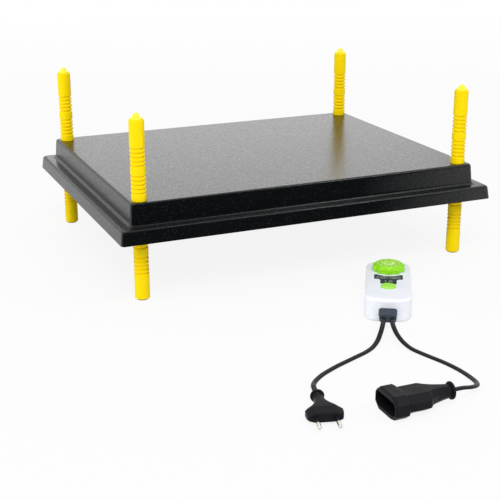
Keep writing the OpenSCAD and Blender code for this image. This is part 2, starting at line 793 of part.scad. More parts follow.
module controller_front() color(white) at_controller() difference() {
  union() {
    loft(body_rings(front_section));
    at_bosses() translate([0, 0, back_h]) cylinder(d = boss_d, h = face_z - shell_t / 2 - back_h);
  }
  at_bosses() translate([0, 0, back_h - overrun])
    cylinder(d = boss_screw_d + 2 * screw_gap, h = boss_hole_top - back_h + overrun);
  translate([0, dial_y, face_under_z - overrun]) cylinder(d = spindle_hole_d, h = shell_t + 2 * overrun);
  translate([0, button_y, face_under_z - overrun])
    cylinder(d = button_d + 2 * button_gap, h = shell_t + 2 * overrun);
  translate([0, 0, face_z - panel_sink]) linear_extrude(panel_sink + overrun) panel_outline(panel_gap);
  boot_way();
}

module controller_screws() color(metal) at_controller() at_bosses() difference() {
  union() {
    cylinder(d = boss_head_d, h = boss_head_h);
    cylinder(d = boss_screw_d, h = boss_screw_l);
  }
  cross_recess();
}

module control_panel() color("#2b2e38") at_controller() translate([0, 0, face_z - panel_sink])
  linear_extrude(panel_t) panel_outline(0);

module control_board() color("#2f6b3a") at_controller() difference() {
  translate([-board_w / 2, board_front, board_z]) cube([board_w, board_back - board_front, board_t]);
  for (x = [-1, 1], y = [-1, 1]) hull() for (run = [0, boss_end])
    translate([x * boss_x, y * (boss_y + run), 0]) cylinder(d = boss_d + 2 * part_gap, h = body_t);
}

module dial_potentiometer() color(metal) at_controller() translate([0, dial_y, board_top]) difference() {
  union() {
    cylinder(d = pot_d, h = pot_h);
    cylinder(d = pot_bush_d, h = pot_h + pot_bush_h);
  }
  translate([0, 0, spindle_foot]) cylinder(r = spindle_d / 2 + spindle_gap, h = pot_h + pot_bush_h);
}

module dial_spindle() color(metal) at_controller() {
  foot = board_top + spindle_foot + spindle_gap;
  translate([0, dial_y, foot]) cylinder(d = spindle_d, h = dial_top - spindle_sink - foot);
}

module dial_outline() union() {
  circle(d = dial_root_d);
  for (i = [0:lobe_count - 1]) rotate(360 * i / lobe_count + 90)
    translate([(dial_d - lobe_d) / 2, 0]) circle(d = lobe_d);
}

module dial_knob() color("#8fd900") at_controller() translate([0, dial_y, dial_z]) difference() {
  union() {
    linear_extrude(dial_h - dial_rim_drop) dial_outline();
    translate([0, 0, dial_h - dial_rim_drop])
      cylinder(r1 = dial_root_d / 2, r2 = dial_rim_d / 2, h = dial_rim_drop);
  }
  translate([0, 0, -overrun])
    cylinder(r = spindle_d / 2 + spindle_gap, h = dial_h - spindle_sink + overrun);
  translate([0, 0, dial_h - dial_face_t])
    cylinder(d = dial_face_d + 2 * spindle_gap, h = dial_face_t + overrun);
}

module dial_face() color("#aee84e") at_controller() translate([0, dial_y, dial_top - dial_face_t])
  cylinder(d = dial_face_d, h = dial_face_t);

module power_switch() color(black) at_controller() translate([0, button_y, board_top]) difference() {
  slab(switch_w, switch_w, switch_h);
  translate([0, 0, switch_h - stem_depth - button_travel - part_gap])
    cylinder(r = button_stem_d / 2 + spindle_gap, h = switch_h);
}

module power_button() color("#a0e64b") at_controller() translate([0, button_y, 0]) rotate_extrude() {
  foot = board_top + switch_h - stem_depth;
  skirt = face_under_z - part_gap;
  polygon([
    [0, foot], [button_stem_d / 2, foot], [button_stem_d / 2, skirt - button_skirt_t],
    [button_skirt_d / 2, skirt - button_skirt_t], [button_skirt_d / 2, skirt], [button_d / 2, skirt],
    [button_d / 2, button_top - button_crown - button_edge],
    [button_d / 2 - button_edge, button_top - button_crown], [button_d / 4, button_top], [0, button_top]]);
}

module dimmer_triac() color("#303236") at_controller() translate([triac_x, triac_y, board_top]) {
  slab(triac_w, triac_t, triac_h);
  translate([0, triac_t / 2 + triac_tab_t / 2, 0]) slab(triac_w, triac_tab_t, triac_tab_h);
}

module dimmer_capacitor() color("#b02a2a") at_controller()
  translate([capacitor_x, capacitor_y, board_top]) slab(capacitor_w, capacitor_t, capacitor_h);

module dimmer_fuse() color(metal) at_controller() translate([fuse_x, fuse_y, board_top]) {
  for (e = [-1, 1]) translate([0, e * (fuse_l - fuse_cap_l) / 2, 0])
    slab(fuse_d, fuse_cap_l, fuse_d / 2 + fuse_rise);
  translate([0, fuse_l / 2, fuse_d / 2 + fuse_rise]) rotate([90, 0, 0]) cylinder(d = fuse_d, h = fuse_l);
}

module dimmer_choke() color("#9a5a22") at_controller() translate([choke_x, choke_y, board_top]) difference() {
  cylinder(d = choke_d, h = choke_base_h + choke_h);
  translate([0, 0, choke_base_h]) cylinder(d = choke_eye_d, h = choke_h + overrun);
}

module board_wires() color("#8a1f1f") at_controller() {
  rest = board_top + core_wire_d / 2;
  for (s = core_wire_shares) translate([s * core_wire_pitch, 0, 0]) loft(tube_rings(
    [[0, wire_seat_y, cord_z], [0, wire_seat_y + wire_run, cord_z],
     [0, wire_land - wire_run, rest + core_wire_rise], [0, wire_land, rest]],
    core_wire_d, core_wire_d, wire_sides));
}

// A block along -y from the origin, whose width and thickness both taper
module taper(l, w, end_w, t, end_t) intersection() {
  translate([0, 0, -t / 2]) linear_extrude(t)
    polygon([[-w / 2, 0], [w / 2, 0], [end_w / 2, -l], [-end_w / 2, -l]]);
  rotate([0, -90, 0]) translate([0, 0, -w / 2]) linear_extrude(w)
    polygon([[-t / 2, 0], [t / 2, 0], [end_t / 2, -l], [-end_t / 2, -l]]);
}

module cord_boot() color("#434c59") at_controller() translate([0, 0, cord_z]) union() {
  translate([0, -boot_y, 0]) taper(boot_l, boot_w, boot_end_w, boot_t, boot_end_t);
  translate([0, (boot_seat_y - boot_y) / 2, -boot_neck_t / 2])
    slab(boot_neck_w, boot_y + boot_seat_y + 2 * overrun, boot_neck_t);
  translate([0, boot_seat_y + boot_seat_l / 2, -boot_seat_t / 2]) slab(boot_seat_w, boot_seat_l, boot_seat_t);
}

module at_boot_end() {
  at_controller() translate([0, -boot_end_y, 0]) children();
}

module lead(route) loft(tube_rings(route, lead_w, lead_t, lead_sides));

module mains_lead() color(black) at_boot_end() lead(mains_route);

module outlet_lead() color(black) at_boot_end() lead(outlet_route);

// The axes of what a lead ends in: y runs on from the lead's end, level
module at_route_end(route) {
  run = route_turn(route, len(route) - 1);
  at_boot_end() translate(route[len(route) - 1]) rotate(atan2(run.y, run.x) - 90) children();
}

function mirrored_outline(shares, half_w, l) = concat(
  [for (s = shares) [s[1] * half_w, s[0] * l]],
  [for (s = reversed(shares)) [-s[1] * half_w, s[0] * l]]);

function hex_outline(half_w, half_t, flat_share, edge_share) = [
  [half_w, -half_t * edge_share], [half_w, half_t * edge_share], [half_w * flat_share, half_t],
  [-half_w * flat_share, half_t], [-half_w, half_t * edge_share], [-half_w, -half_t * edge_share],
  [-half_w * flat_share, -half_t], [half_w * flat_share, -half_t]];

// A grip along y whose plan is an outline and whose section is a flat hexagon
module grip(shares, w, l, t, flat_share, edge_share) intersection() {
  translate([0, 0, -t / 2]) linear_extrude(t) polygon(mirrored_outline(shares, w / 2, l));
  rotate([90, 0, 0]) translate([0, 0, -l]) linear_extrude(l)
    polygon(hex_outline(w / 2, t / 2, flat_share, edge_share));
}

module at_pins() {
  for (e = [-1, 1]) translate([e * pin_pitch / 2, plug_l, 0]) rotate([-90, 0, 0]) children();
}

module mains_plug() color(black) at_route_end(mains_route) difference() {
  union() {
    rotate([-90, 0, 0]) {
      cylinder(d = plug_collar_d, h = plug_collar_l);
      difference() {
        cylinder(d = plug_neck_d, h = plug_neck_l);
        translate([0, 0, plug_groove_y]) difference() {
          cylinder(d = plug_neck_d + overrun, h = plug_groove_l);
          translate([0, 0, -overrun]) cylinder(d = plug_groove_d, h = plug_groove_l + 2 * overrun);
        }
      }
    }
    grip(plug_outline_shares, plug_w, plug_l, plug_t, plug_flat_share, plug_edge_share);
  }
  at_pins() translate([0, 0, -pin_root_l]) cylinder(d = sleeve_bore_d, h = pin_root_l + overrun);
}

module plug_pins() color(metal) at_route_end(mains_route) at_pins() rotate_extrude() polygon([
  [0, -pin_root_l], [sleeve_bore_d / 2 - sleeve_gap, -pin_root_l], [sleeve_bore_d / 2 - sleeve_gap, sleeve_l],
  [pin_d / 2, sleeve_l], [pin_d / 2, pin_l - pin_tip_round], [pin_d / 2 - pin_tip_round, pin_l], [0, pin_l]]);

module pin_sleeves() color(black) at_route_end(mains_route) at_pins() difference() {
  cylinder(d = sleeve_d, h = sleeve_l);
  translate([0, 0, -overrun]) cylinder(d = sleeve_bore_d, h = sleeve_l + 2 * overrun);
}

module at_contacts() {
  for (e = [-1, 1]) translate([e * pin_pitch / 2, coupler_l - recess_depth, 0]) rotate([90, 0, 0]) children();
}

contact_bore_r = pin_d / 2 + contact_gap;
contact_r = contact_bore_r + contact_wall;

module coupler() color(black) at_route_end(outlet_route) difference() {
  union() {
    rotate([-90, 0, 0]) {
      cylinder(d = coupler_collar_d, h = coupler_collar_l);
      cylinder(d1 = coupler_neck_d, d2 = coupler_waist_t, h = coupler_l / 2);
    }
    grip(coupler_outline_shares, coupler_w, coupler_l, coupler_waist_t,
      coupler_flat_share, coupler_edge_share);
    translate([0, coupler_l - mouth_l, 0]) grip(
      [[0, 1 - 2 * mouth_bevel / mouth_w], [mouth_bevel / mouth_l, 1],
       [1 - mouth_bevel / mouth_l, 1], [1, 1 - 2 * mouth_bevel / mouth_w]],
      mouth_w, mouth_l, mouth_t, mouth_flat_share, mouth_edge_share);
  }
  translate([0, coupler_l - recess_depth / 2 + overrun / 2, -recess_face_t / 2])
    slab(recess_face_w, recess_depth + overrun, recess_face_t);
  at_contacts() translate([0, 0, -overrun]) cylinder(r = contact_r + contact_gap, h = contact_l + overrun);
}

module coupler_contacts() color(brass) at_route_end(outlet_route) at_contacts() difference() {
  cylinder(r = contact_r, h = contact_l);
  translate([0, 0, -overrun]) cylinder(r = contact_bore_r, h = contact_l - contact_wall + overrun);
}

top_shell();
bottom_plate();
fixing_posts();
base_screws();
heat_spreader();
heating_film();
heating_track();
film_terminals();
insulation_mat();
thermal_cutout();
terminal_block();
terminal_screws();
plate_wires();
inlet_gland();
gland_cap();
gland_nut();
for (c = corners) {
  leg(c);
  leg_cap(c);
  leg_pad(c);
  leg_guide(c);
}
controller_back();
controller_front();
controller_screws();
control_panel();
control_board();
dial_potentiometer();
dial_spindle();
dial_knob();
dial_face();
power_switch();
power_button();
dimmer_triac();
dimmer_capacitor();
dimmer_fuse();
dimmer_choke();
board_wires();
cord_boot();
mains_lead();
outlet_lead();
mains_plug();
plug_pins();
pin_sleeves();
coupler();
coupler_contacts();
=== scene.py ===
import math
from types import SimpleNamespace

import bmesh
import bpy
import numpy as np
from mathutils import Matrix


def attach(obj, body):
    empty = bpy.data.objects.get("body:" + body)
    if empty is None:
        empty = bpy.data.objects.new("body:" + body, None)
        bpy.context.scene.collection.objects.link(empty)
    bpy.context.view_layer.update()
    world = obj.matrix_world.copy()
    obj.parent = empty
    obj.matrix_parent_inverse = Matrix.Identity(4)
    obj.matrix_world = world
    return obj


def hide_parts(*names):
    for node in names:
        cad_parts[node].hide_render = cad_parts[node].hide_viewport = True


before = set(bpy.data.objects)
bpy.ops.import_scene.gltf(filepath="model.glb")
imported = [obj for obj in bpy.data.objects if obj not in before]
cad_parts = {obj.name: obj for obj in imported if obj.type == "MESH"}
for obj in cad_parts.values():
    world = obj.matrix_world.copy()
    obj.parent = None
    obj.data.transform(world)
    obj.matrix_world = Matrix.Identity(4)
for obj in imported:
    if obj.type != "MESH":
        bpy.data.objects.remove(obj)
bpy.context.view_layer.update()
scene = bpy.context.scene
mm = 0.001
print("frame loaded:", len(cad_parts), "nodes")


# Each vector of an array brought to length one
def unit(vectors):
    return vectors / np.linalg.norm(vectors, axis=-1, keepdims=True)


# An object's matrix from its three axes and its place
def placeMatrix(x, y, z, place):
    matrix = np.eye(4)
    matrix[:3, :3] = np.stack([x, y, z], axis=1)
    matrix[:3, 3] = place
    return Matrix(matrix.tolist())


def addObject(name, data):
    thing = bpy.data.objects.new(name, data)
    scene.collection.objects.link(thing)
    return thing


# Camera, worked out from the plate's corners and legs in the photograph
cameraView = {
    "place": (-0.58018, -1.34681, 0.40174),
    "right": (0.91955, -0.39296, -0.00303),
    "up": (0.13004, 0.29700, 0.94598),
    "lens": 79.18, "sensor": 36.0, "clip": (0.01, 50),
}
right = unit(np.array(cameraView["right"]))
back = unit(np.cross(right, cameraView["up"]))
cameraData = bpy.data.cameras.new("productCamera")
cameraData.lens, cameraData.sensor_width = cameraView["lens"], cameraView["sensor"]
cameraData.clip_start, cameraData.clip_end = cameraView["clip"]
scene.camera = addObject("productCamera", cameraData)
scene.camera.matrix_world = placeMatrix(right, np.cross(back, right), back, cameraView["place"])
scene.view_settings.view_transform = "Standard"


# Tools that the materials share
def linear(hexColour):
    c = np.array([int(hexColour[i:i + 2], 16) for i in (1, 3, 5)]) / 255
    c = np.where(c <= 0.04045, c / 12.92, ((c + 0.055) / 1.055) ** 2.4)
    return (*c.tolist(), 1.0)


# Links into a node: a source is a socket, or a node whose first output is meant
def wire(node, links):
    for name, source in links.items():
        node.id_data.links.new(getattr(source, "outputs", [source])[0], node.inputs[name])


def addNode(tree, kind, inputs=None, links=None, **settings):
    node = tree.nodes.new(kind)
    for name, value in settings.items():
        setattr(node, name, value)
    for name, value in (inputs or {}).items():
        node.inputs[name].default_value = value
    wire(node, links or {})
    return node


def newMaterial(name, **sockets):
    material = bpy.data.materials.new(name)
    material.use_nodes = True
    tree = material.node_tree
    tree.nodes.clear()
    shader = addNode(tree, "ShaderNodeBsdfPrincipled",
                     inputs={k.replace("_", " "): v for k, v in sockets.items()})
    addNode(tree, "ShaderNodeOutputMaterial", links={"Surface": shader})
    return material, tree, shader


noiseSpan = {"From Min": 0.3, "From Max": 0.7}  # most of a noise texture lies between these


# A finish drifts between two near shades, its gloss drifts with them, and a fine grain lifts it
def makeFinish(name, colour, shade, driftMm, roughness, roughSpread, grainMm, grainLift, **sockets):
    material, tree, shader = newMaterial(name, **sockets)
    place = addNode(tree, "ShaderNodeTexCoord").outputs["Object"]
    drift = addNode(tree, "ShaderNodeTexNoise", inputs={"Scale": 1 / (driftMm * mm), "Detail": 5.0},
                    links={"Vector": place})
    tint = addNode(tree, "ShaderNodeMix", data_type="RGBA", links={0: drift},
                   inputs={6: linear(colour), 7: linear(shade)})
    gloss = addNode(tree, "ShaderNodeMapRange", links={"Value": drift},
                    inputs={**noiseSpan, "To Min": roughness - roughSpread, "To Max": roughness + roughSpread})
    grain = addNode(tree, "ShaderNodeTexNoise", inputs={"Scale": 1 / (grainMm * mm), "Detail": 3.0},
                    links={"Vector": place})
    lift = addNode(tree, "ShaderNodeBump", inputs={"Strength": 1.0, "Distance": grainLift * mm},
                   links={"Height": grain})
    wire(shader, {"Base Color": tint.outputs[2], "Roughness": gloss, "Normal": lift})
    return material


# Formed ABS sheet with a glossy skin: black, with a fine grain that sparkles where light meets it;
# the grain is drawn coarser than the real one, so that it shows; grey flecks in its colour are painted glints
def makeFormedSheet():
    # the fleck settings give painted glints: grey flecks painted into the colour where the grain would sparkle
    sheet = {"dark": "#050708", "light": "#0c0e10", "glintGrey": "#4a4f55", "grainMm": 2.2, "glintMm": 1.7,
             "glintEdge": (0.08, 0.24), "glintShare": 0.45, "lift": 0.15, "roughness": (0.3, 0.5),
             "headOn": 0.0, "headOnFacing": 0.14, "slantFacing": 0.185, "speck": 0.55}
    material, tree, shader = newMaterial("blackFormedAbs", Specular_IOR_Level=0.02, Coat_Roughness=0.22,
                                         Coat_IOR=1.53)
    place = addNode(tree, "ShaderNodeTexCoord").outputs["Object"]
    grain = addNode(tree, "ShaderNodeTexNoise", inputs={"Scale": 1 / (sheet["grainMm"] * mm), "Detail": 4.0},
                    links={"Vector": place})
    # painted glints: pale grey flecks on a share of the cells, standing in for the grain's sparkle
    glintCells = addNode(tree, "ShaderNodeTexVoronoi", inputs={"Scale": 1 / (sheet["glintMm"] * mm)},
                     links={"Vector": place})
    spot = addNode(tree, "ShaderNodeMapRange", links={"Value": glintCells},
                   inputs={"From Min": sheet["glintEdge"][0], "From Max": sheet["glintEdge"][1],
                           "To Min": 1.0, "To Max": 0.0})
    chance = addNode(tree, "ShaderNodeSeparateColor", links={"Color": glintCells.outputs["Color"]})
    glintPicked = addNode(tree, "ShaderNodeMath", operation="LESS_THAN", inputs={1: sheet["glintShare"]},
                     links={0: chance.outputs["Red"]})
    paintedGlints = addNode(tree, "ShaderNodeMath", operation="MULTIPLY", links={0: spot, 1: glintPicked})
    ground = addNode(tree, "ShaderNodeMix", data_type="RGBA", links={0: grain},
                     inputs={6: linear(sheet["dark"]), 7: linear(sheet["light"])})
    # the painted glints are mixed into the black here
    tint = addNode(tree, "ShaderNodeMix", data_type="RGBA", inputs={7: linear(sheet["glintGrey"])},
                   links={0: paintedGlints, 6: ground.outputs[2]})
    gloss = addNode(tree, "ShaderNodeMapRange", links={"Value": grain},
                    inputs={**noiseSpan, "To Min": sheet["roughness"][0], "To Max": sheet["roughness"][1]})
    lift = addNode(tree, "ShaderNodeBump", inputs={"Strength": 1.0, "Distance": sheet["lift"] * mm},
                   links={"Height": grain})
    # the skin's sheen comes in at a slant, and is weaker on some of the grain
    slant = addNode(tree, "ShaderNodeLayerWeight", inputs={"Blend": 0.5})
    speck = addNode(tree, "ShaderNodeMapRange", links={"Value": grain},
                    inputs={**noiseSpan, "To Min": sheet["speck"], "To Max": 1.0})
    sheen = addNode(tree, "ShaderNodeMapRange", links={"Value": slant.outputs["Facing"], "To Max": speck},
                    inputs={"From Min": sheet["headOnFacing"], "From Max": sheet["slantFacing"],
                            "To Min": sheet["headOn"]})
    wire(shader, {"Base Color": tint.outputs[2], "Roughness": gloss, "Normal": lift, "Coat Weight": sheen,
                  "Coat Normal": lift})
    return material


# Each row: name, two near shades, drift in mm, roughness and its spread, grain and its lift in mm, other sockets
finishRows = {
    # extruded ABS sheet, duller than the formed shell
    "blackBaseAbs": ("#17181a", "#202123", 9, 0.5, 0.06, 0.7, 0.02),
    # moulded nylon, dull black
    "blackNylon": ("#131314", "#1b1b1d", 6, 0.46, 0.05, 0.6, 0.015),
    # injection moulded polypropylene: strong yellow with a soft gloss
    "yellowPolypropylene": ("#fbd800", "#fbde00", 14, 0.4, 0.05, 1.1, 0.012, {"Specular_IOR_Level": 0.1}),
    # the caps' plastic is paler and lets a little light in
    "yellowCapPolyethylene": ("#fdec2a", "#fff04c", 8, 0.32, 0.05, 1.0, 0.012,
                  {"Specular_IOR_Level": 0.3, "Subsurface_Weight": 0.15,
                   "Subsurface_Radius": (0.002, 0.0016, 0.0004)}),
    # soft foot pad, matt; its black band at each leg's foot also stands in for contact shade
    "blackPadAndFootShade": ("#232323", "#2d2c2b", 4, 0.8, 0.06, 0.5, 0.02),
    # moulded ABS, cool white with a fine satin texture
    "whiteAbs": ("#eef1fa", "#f3f5fc", 20, 0.34, 0.04, 0.5, 0.006),
    # printed polyester film, dark blue-grey and smooth
    "darkPolyesterFilm": ("#2a2d37", "#31343e", 7, 0.45, 0.05, 0.4, 0.004, {"Specular_IOR_Level": 0.15}),
    # print on the film, pale grey
    "paleScreenPrint": ("#c9ccd6", "#bfc2cc", 3, 0.6, 0.05, 0.4, 0.004),
    # moulded ABS of the dial, strong yellow-green
    "greenDialAbs": ("#8cd800", "#95e006", 8, 0.36, 0.05, 0.6, 0.006),
    # the disc let into the dial is lighter and duller
    "lightGreenDisc": ("#abe64b", "#b2ea58", 6, 0.48, 0.05, 0.5, 0.005),
    # dots on the dial, slate grey ink
    "slateInk": ("#6f7f83", "#798a8c", 2, 0.6, 0.05, 0.4, 0.003),
    # the curved mark on the dial, white ink
    "whiteInk": ("#e9f7d2", "#f3fbe6", 2, 0.6, 0.05, 0.4, 0.003),
    # moulded button, a little bluer green than the dial
    "greenButtonAbs": ("#9fe548", "#a5e852", 7, 0.4, 0.05, 0.6, 0.006),
    # moulded thermoplastic rubber of the cord boot, dull blue-grey
    "greyBootRubber": ("#353d4a", "#404956", 5, 0.55, 0.06, 0.5, 0.015, {"Specular_IOR_Level": 0.15}),
    # extruded PVC cord cover, black with a soft sheen
    "blackCordPvc": ("#121316", "#191a1e", 6, 0.38, 0.06, 0.6, 0.012, {"Specular_IOR_Level": 0.15}),
    # moulded PVC of plug and coupler, satin black
    "blackPlugPvc": ("#131317", "#1a1a1f", 7, 0.42, 0.06, 0.6, 0.012, {"Specular_IOR_Level": 0.08}),
    # nickel plate on the pins
    "nickelPlate": ("#d3cfc6", "#dedad2", 3, 0.22, 0.05, 0.3, 0.002, {"Metallic": 1.0}),
    # zinc plate on screws and small metal cases
    "zincPlatedSteel": ("#b4b7bc", "#c6c9cd", 3, 0.32, 0.06, 0.4, 0.004, {"Metallic": 1.0}),
    # rolled aluminium sheet
    "rolledAluminium": ("#d2d4d6", "#dee0e1", 12, 0.3, 0.05, 1.0, 0.004, {"Metallic": 1.0}),
    # turned brass
    "turnedBrass": ("#d2b05e", "#dcbd70", 3, 0.26, 0.05, 0.4, 0.004, {"Metallic": 1.0}),
    # etched copper track and enamelled copper wire
    "copperFoil": ("#c98a5a", "#b97a4c", 4, 0.34, 0.06, 0.5, 0.004, {"Metallic": 1.0}),
    # clear amber film of the heater
    "amberPolyimide": ("#9a5a16", "#ab6820", 10, 0.24, 0.05, 0.8, 0.006),
    # pressed polyester fleece, pale and matt
    "pressedFleece": ("#e6e2d6", "#d8d3c4", 5, 0.92, 0.04, 1.2, 0.3, {"Sheen_Weight": 0.4}),
    # moulded white nylon of the terminal block
    "whiteNylon": ("#e9e8e3", "#f1f0ec", 6, 0.42, 0.05, 0.6, 0.01),
    # wire covers
    "redWirePvc": ("#a31f1f", "#b32a26", 4, 0.4, 0.05, 0.5, 0.008),
    # lacquered circuit board
    "greenBoardLacquer": ("#2b6a39", "#347743", 4, 0.36, 0.06, 0.6, 0.006),
    # dipped capacitor case
    "redDippedCase": ("#ae2a26", "#bd3731", 3, 0.26, 0.05, 0.6, 0.006),
    # fuse glass with metal ends reads as pale grey glass
    "fuseGlass": ("#cfd6d6", "#dde3e3", 3, 0.12, 0.03, 0.6, 0.003),
}
finishes = {"blackFormedAbs": makeFormedSheet()}
for name, row in finishRows.items():
    finishes[name] = makeFinish(name, *row[:7], **dict(*row[7:]))
print("materials made:", len(finishes))


# Tools that the shapes share; all sizes in millimetres until a piece is made
nearZero = 1e-6


def fullTurn(sides):
    return np.linspace(0, 2 * np.pi, sides, endpoint=False)


# Points from their coordinates, each a number or an array
def joined(*coordinates):
    return np.stack(np.broadcast_arrays(*coordinates), -1)


# A flat line or loop of points set at a height
def atHeight(line, z):
    return joined(*line.T, z)


# The triangles between rings of points, each ring closed on itself
def ringTriangles(rows, cols, start):
    i = np.arange(rows * cols).reshape(rows, cols) + start
    j = np.roll(i, -1, 1)
    a, b, c, d = i[:-1], j[:-1], j[1:], i[1:]
    return np.concatenate([np.stack(t, -1).reshape(-1, 3) for t in ((a, b, c), (a, c, d))])


# One piece from grids of points: doubles are merged, empty faces dropped and faces turned outwards
def makePiece(name, patches, finish, body, replaced=(), sharpAngle=38):
    faces, start = [], 0
    for grid in patches:
        faces.append(ringTriangles(*grid.shape[:2], start))
        start += grid.shape[0] * grid.shape[1]
    points = np.vstack([grid.reshape(-1, 3) for grid in patches])
    merged, where = np.unique(np.round(points, 4), axis=0, return_inverse=True)
    faces = where.reshape(-1)[np.vstack(faces)]
    a, b, c = faces.T
    faces = faces[(a != b) & (b != c) & (c != a)]
    mesh = bpy.data.meshes.new(name)
    mesh.from_pydata((merged * mm).tolist(), [], faces.tolist())
    work = bmesh.new()
    work.from_mesh(mesh)
    bmesh.ops.recalc_face_normals(work, faces=work.faces)
    work.to_mesh(mesh)
    work.free()
    mesh.shade_smooth()
    mesh.set_sharp_from_angle(angle=math.radians(sharpAngle))
    mesh.materials.append(finishes[finish])
    piece = addObject(name, mesh)
    piece.modifiers.new("faceNormals", "WEIGHTED_NORMAL").keep_sharp = True
    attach(piece, body)
    if replaced:
        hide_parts(*replaced)
    return piece


# A line through corners, each inner corner turned into an arc of its radius
def roundedLine(corners, radii, steps=6):
    corners = np.array(corners, float)
    line = [corners[:1]]
    for before, corner, after, radius in zip(corners, corners[1:], corners[2:], radii):
        if radius == 0:
            line.append(corner[None])
            continue
        u, w = unit(before - corner), unit(after - corner)
        half = np.arccos(np.clip(u @ w, -1, 1)) / 2
        centre = corner + unit(u + w) * radius / np.sin(half)
        first = corner + u * radius / np.tan(half) - centre
        t = np.linspace(0, -np.sign(u[0] * w[1] - u[1] * w[0]) * (np.pi - 2 * half), steps + 1)
        line.append(centre + joined(first[0] * np.cos(t) - first[1] * np.sin(t),
                                    first[0] * np.sin(t) + first[1] * np.cos(t)))
    line.append(corners[-1:])
    return np.vstack(line)


# A profile of radius and height turned about the z axis
def lathe(profile, centre=(0, 0, 0), segments=72):
    t = fullTurn(segments)
    r, z = profile[:, :1], profile[:, 1:]
    return joined(r * np.cos(t), r * np.sin(t), z) + np.array(centre)


# A sine or cosine raised to a power below one swells a circle towards a square
def swelled(wave, power):
    return np.sign(wave) * np.abs(wave) ** power


# A ring closed by a fan to its middle
def capFan(ring):
    return np.stack([ring, np.broadcast_to(ring.mean(0), ring.shape)])


# Rings along a path, with a fan over each end
def cappedTube(grid):
    return [grid, capFan(grid[0]), capFan(grid[-1])]


# The same patches carried into other axes
def carried(patches, change, *more):
    return [change(grid, *more) for grid in patches]


# Picks the points of a ring that lie in the quarter towards x and y
def quarterOf(x, y):
    return lambda ring: (ring[:, 0] * x > -nearZero) & (ring[:, 1] * y > -nearZero)


# The order of a loop's points about a hole's centre, and their angles
def aboutHole(loop, centre):
    angles = np.arctan2(*(loop - centre).T[::-1])
    order = np.argsort(angles)
    return order, angles[order]


# The flat face round a hole: from an outer loop to the hole's quarter-round lip and down its wall
def holePatch(loop, angles, centre, radius, z, lip, depth, lipSteps=4):
    q = np.linspace(0, np.pi / 2, lipSteps) if lip else np.zeros(1)
    radii = np.append(radius + lip * (1 - np.sin(q)), radius)
    heights = np.append(z - np.sign(depth) * lip * (1 - np.cos(q)), z - depth)
    circles = joined(centre[0] + radii[:, None] * np.cos(angles), centre[1] + radii[:, None] * np.sin(angles),
                     heights[:, None])
    return np.concatenate([atHeight(loop, z)[None], circles])


# A shell of two skins that share a rim, with a hole in each region of its closed face
def holedShell(outer, inner, regions, lip):
    patches = [outer, inner, np.stack([outer[0], inner[0]])]
    topZ, underZ = outer[-1, 0, 2], inner[-1, 0, 2]
    for inside, extra, centre, radius in regions:
        mask = inside(outer[-1])
        loop = np.vstack([outer[-1][mask][:, :2], extra])
        under = np.vstack([inner[-1][mask][:, :2], extra])
        order, angles = aboutHole(loop, centre)
        patches.append(holePatch(loop[order], angles, centre, radius, topZ, lip, topZ - underZ))
        patches.append(holePatch(under[order], angles, centre, radius, underZ, 0, 0))
    return patches


# Plate: two skins of rounded rectangles that follow the shell's section, holed for the legs
plate = {
    "halfWidth": 250, "halfDepth": 200, "cornerRadius": 5, "wall": 2.4, "footZ": -1, "ledgeZ": 16, "topZ": 43,
    "rimDraft": 2.2, "ledgeInset": 16.7, "blockDraft": 2, "edgeRadius": 3.5, "filletRadius": 4,
    "liningEdges": (1.2, 0.8), "legX": 217.55, "legY": 167.55, "holeRadius": 9.35, "lip": 0.5, "hold": 0.6,
    "farInset": 60, "arcSteps": 9, "liningSteps": 4, "sideTurns": 26, "middleTurns": 14, "middleGap": 1,
}


# A quarter of a rounded rectangle: along x, round the corner and back along y; mirrored, it makes the ring
def plateRing(inset, z, xShares, yShares):
    w, d, r = plate["halfWidth"] - inset, plate["halfDepth"] - inset, plate["cornerRadius"]
    t = np.linspace(np.pi / 2, 0, plate["arcSteps"])
    alongX = joined(xShares * (w - r), d)
    corner = joined(w - r + r * np.cos(t), d - r + r * np.sin(t))
    sideY = joined(w, yShares[::-1] * (d - r))
    q = atHeight(np.vstack([alongX, corner, sideY]), z)
    return np.vstack([q, (q * (1, -1, 1))[::-1], q * (-1, -1, 1), (q * (-1, 1, 1))[::-1]])


# Places along a line that even turns about a hole's centre meet: the line lies a gap away and ends at reach
def evenTurns(leg, gap, reach, turns):
    return leg + gap * np.tan(np.linspace(np.arctan2(-leg, gap), np.arctan2(reach - leg, gap), turns))


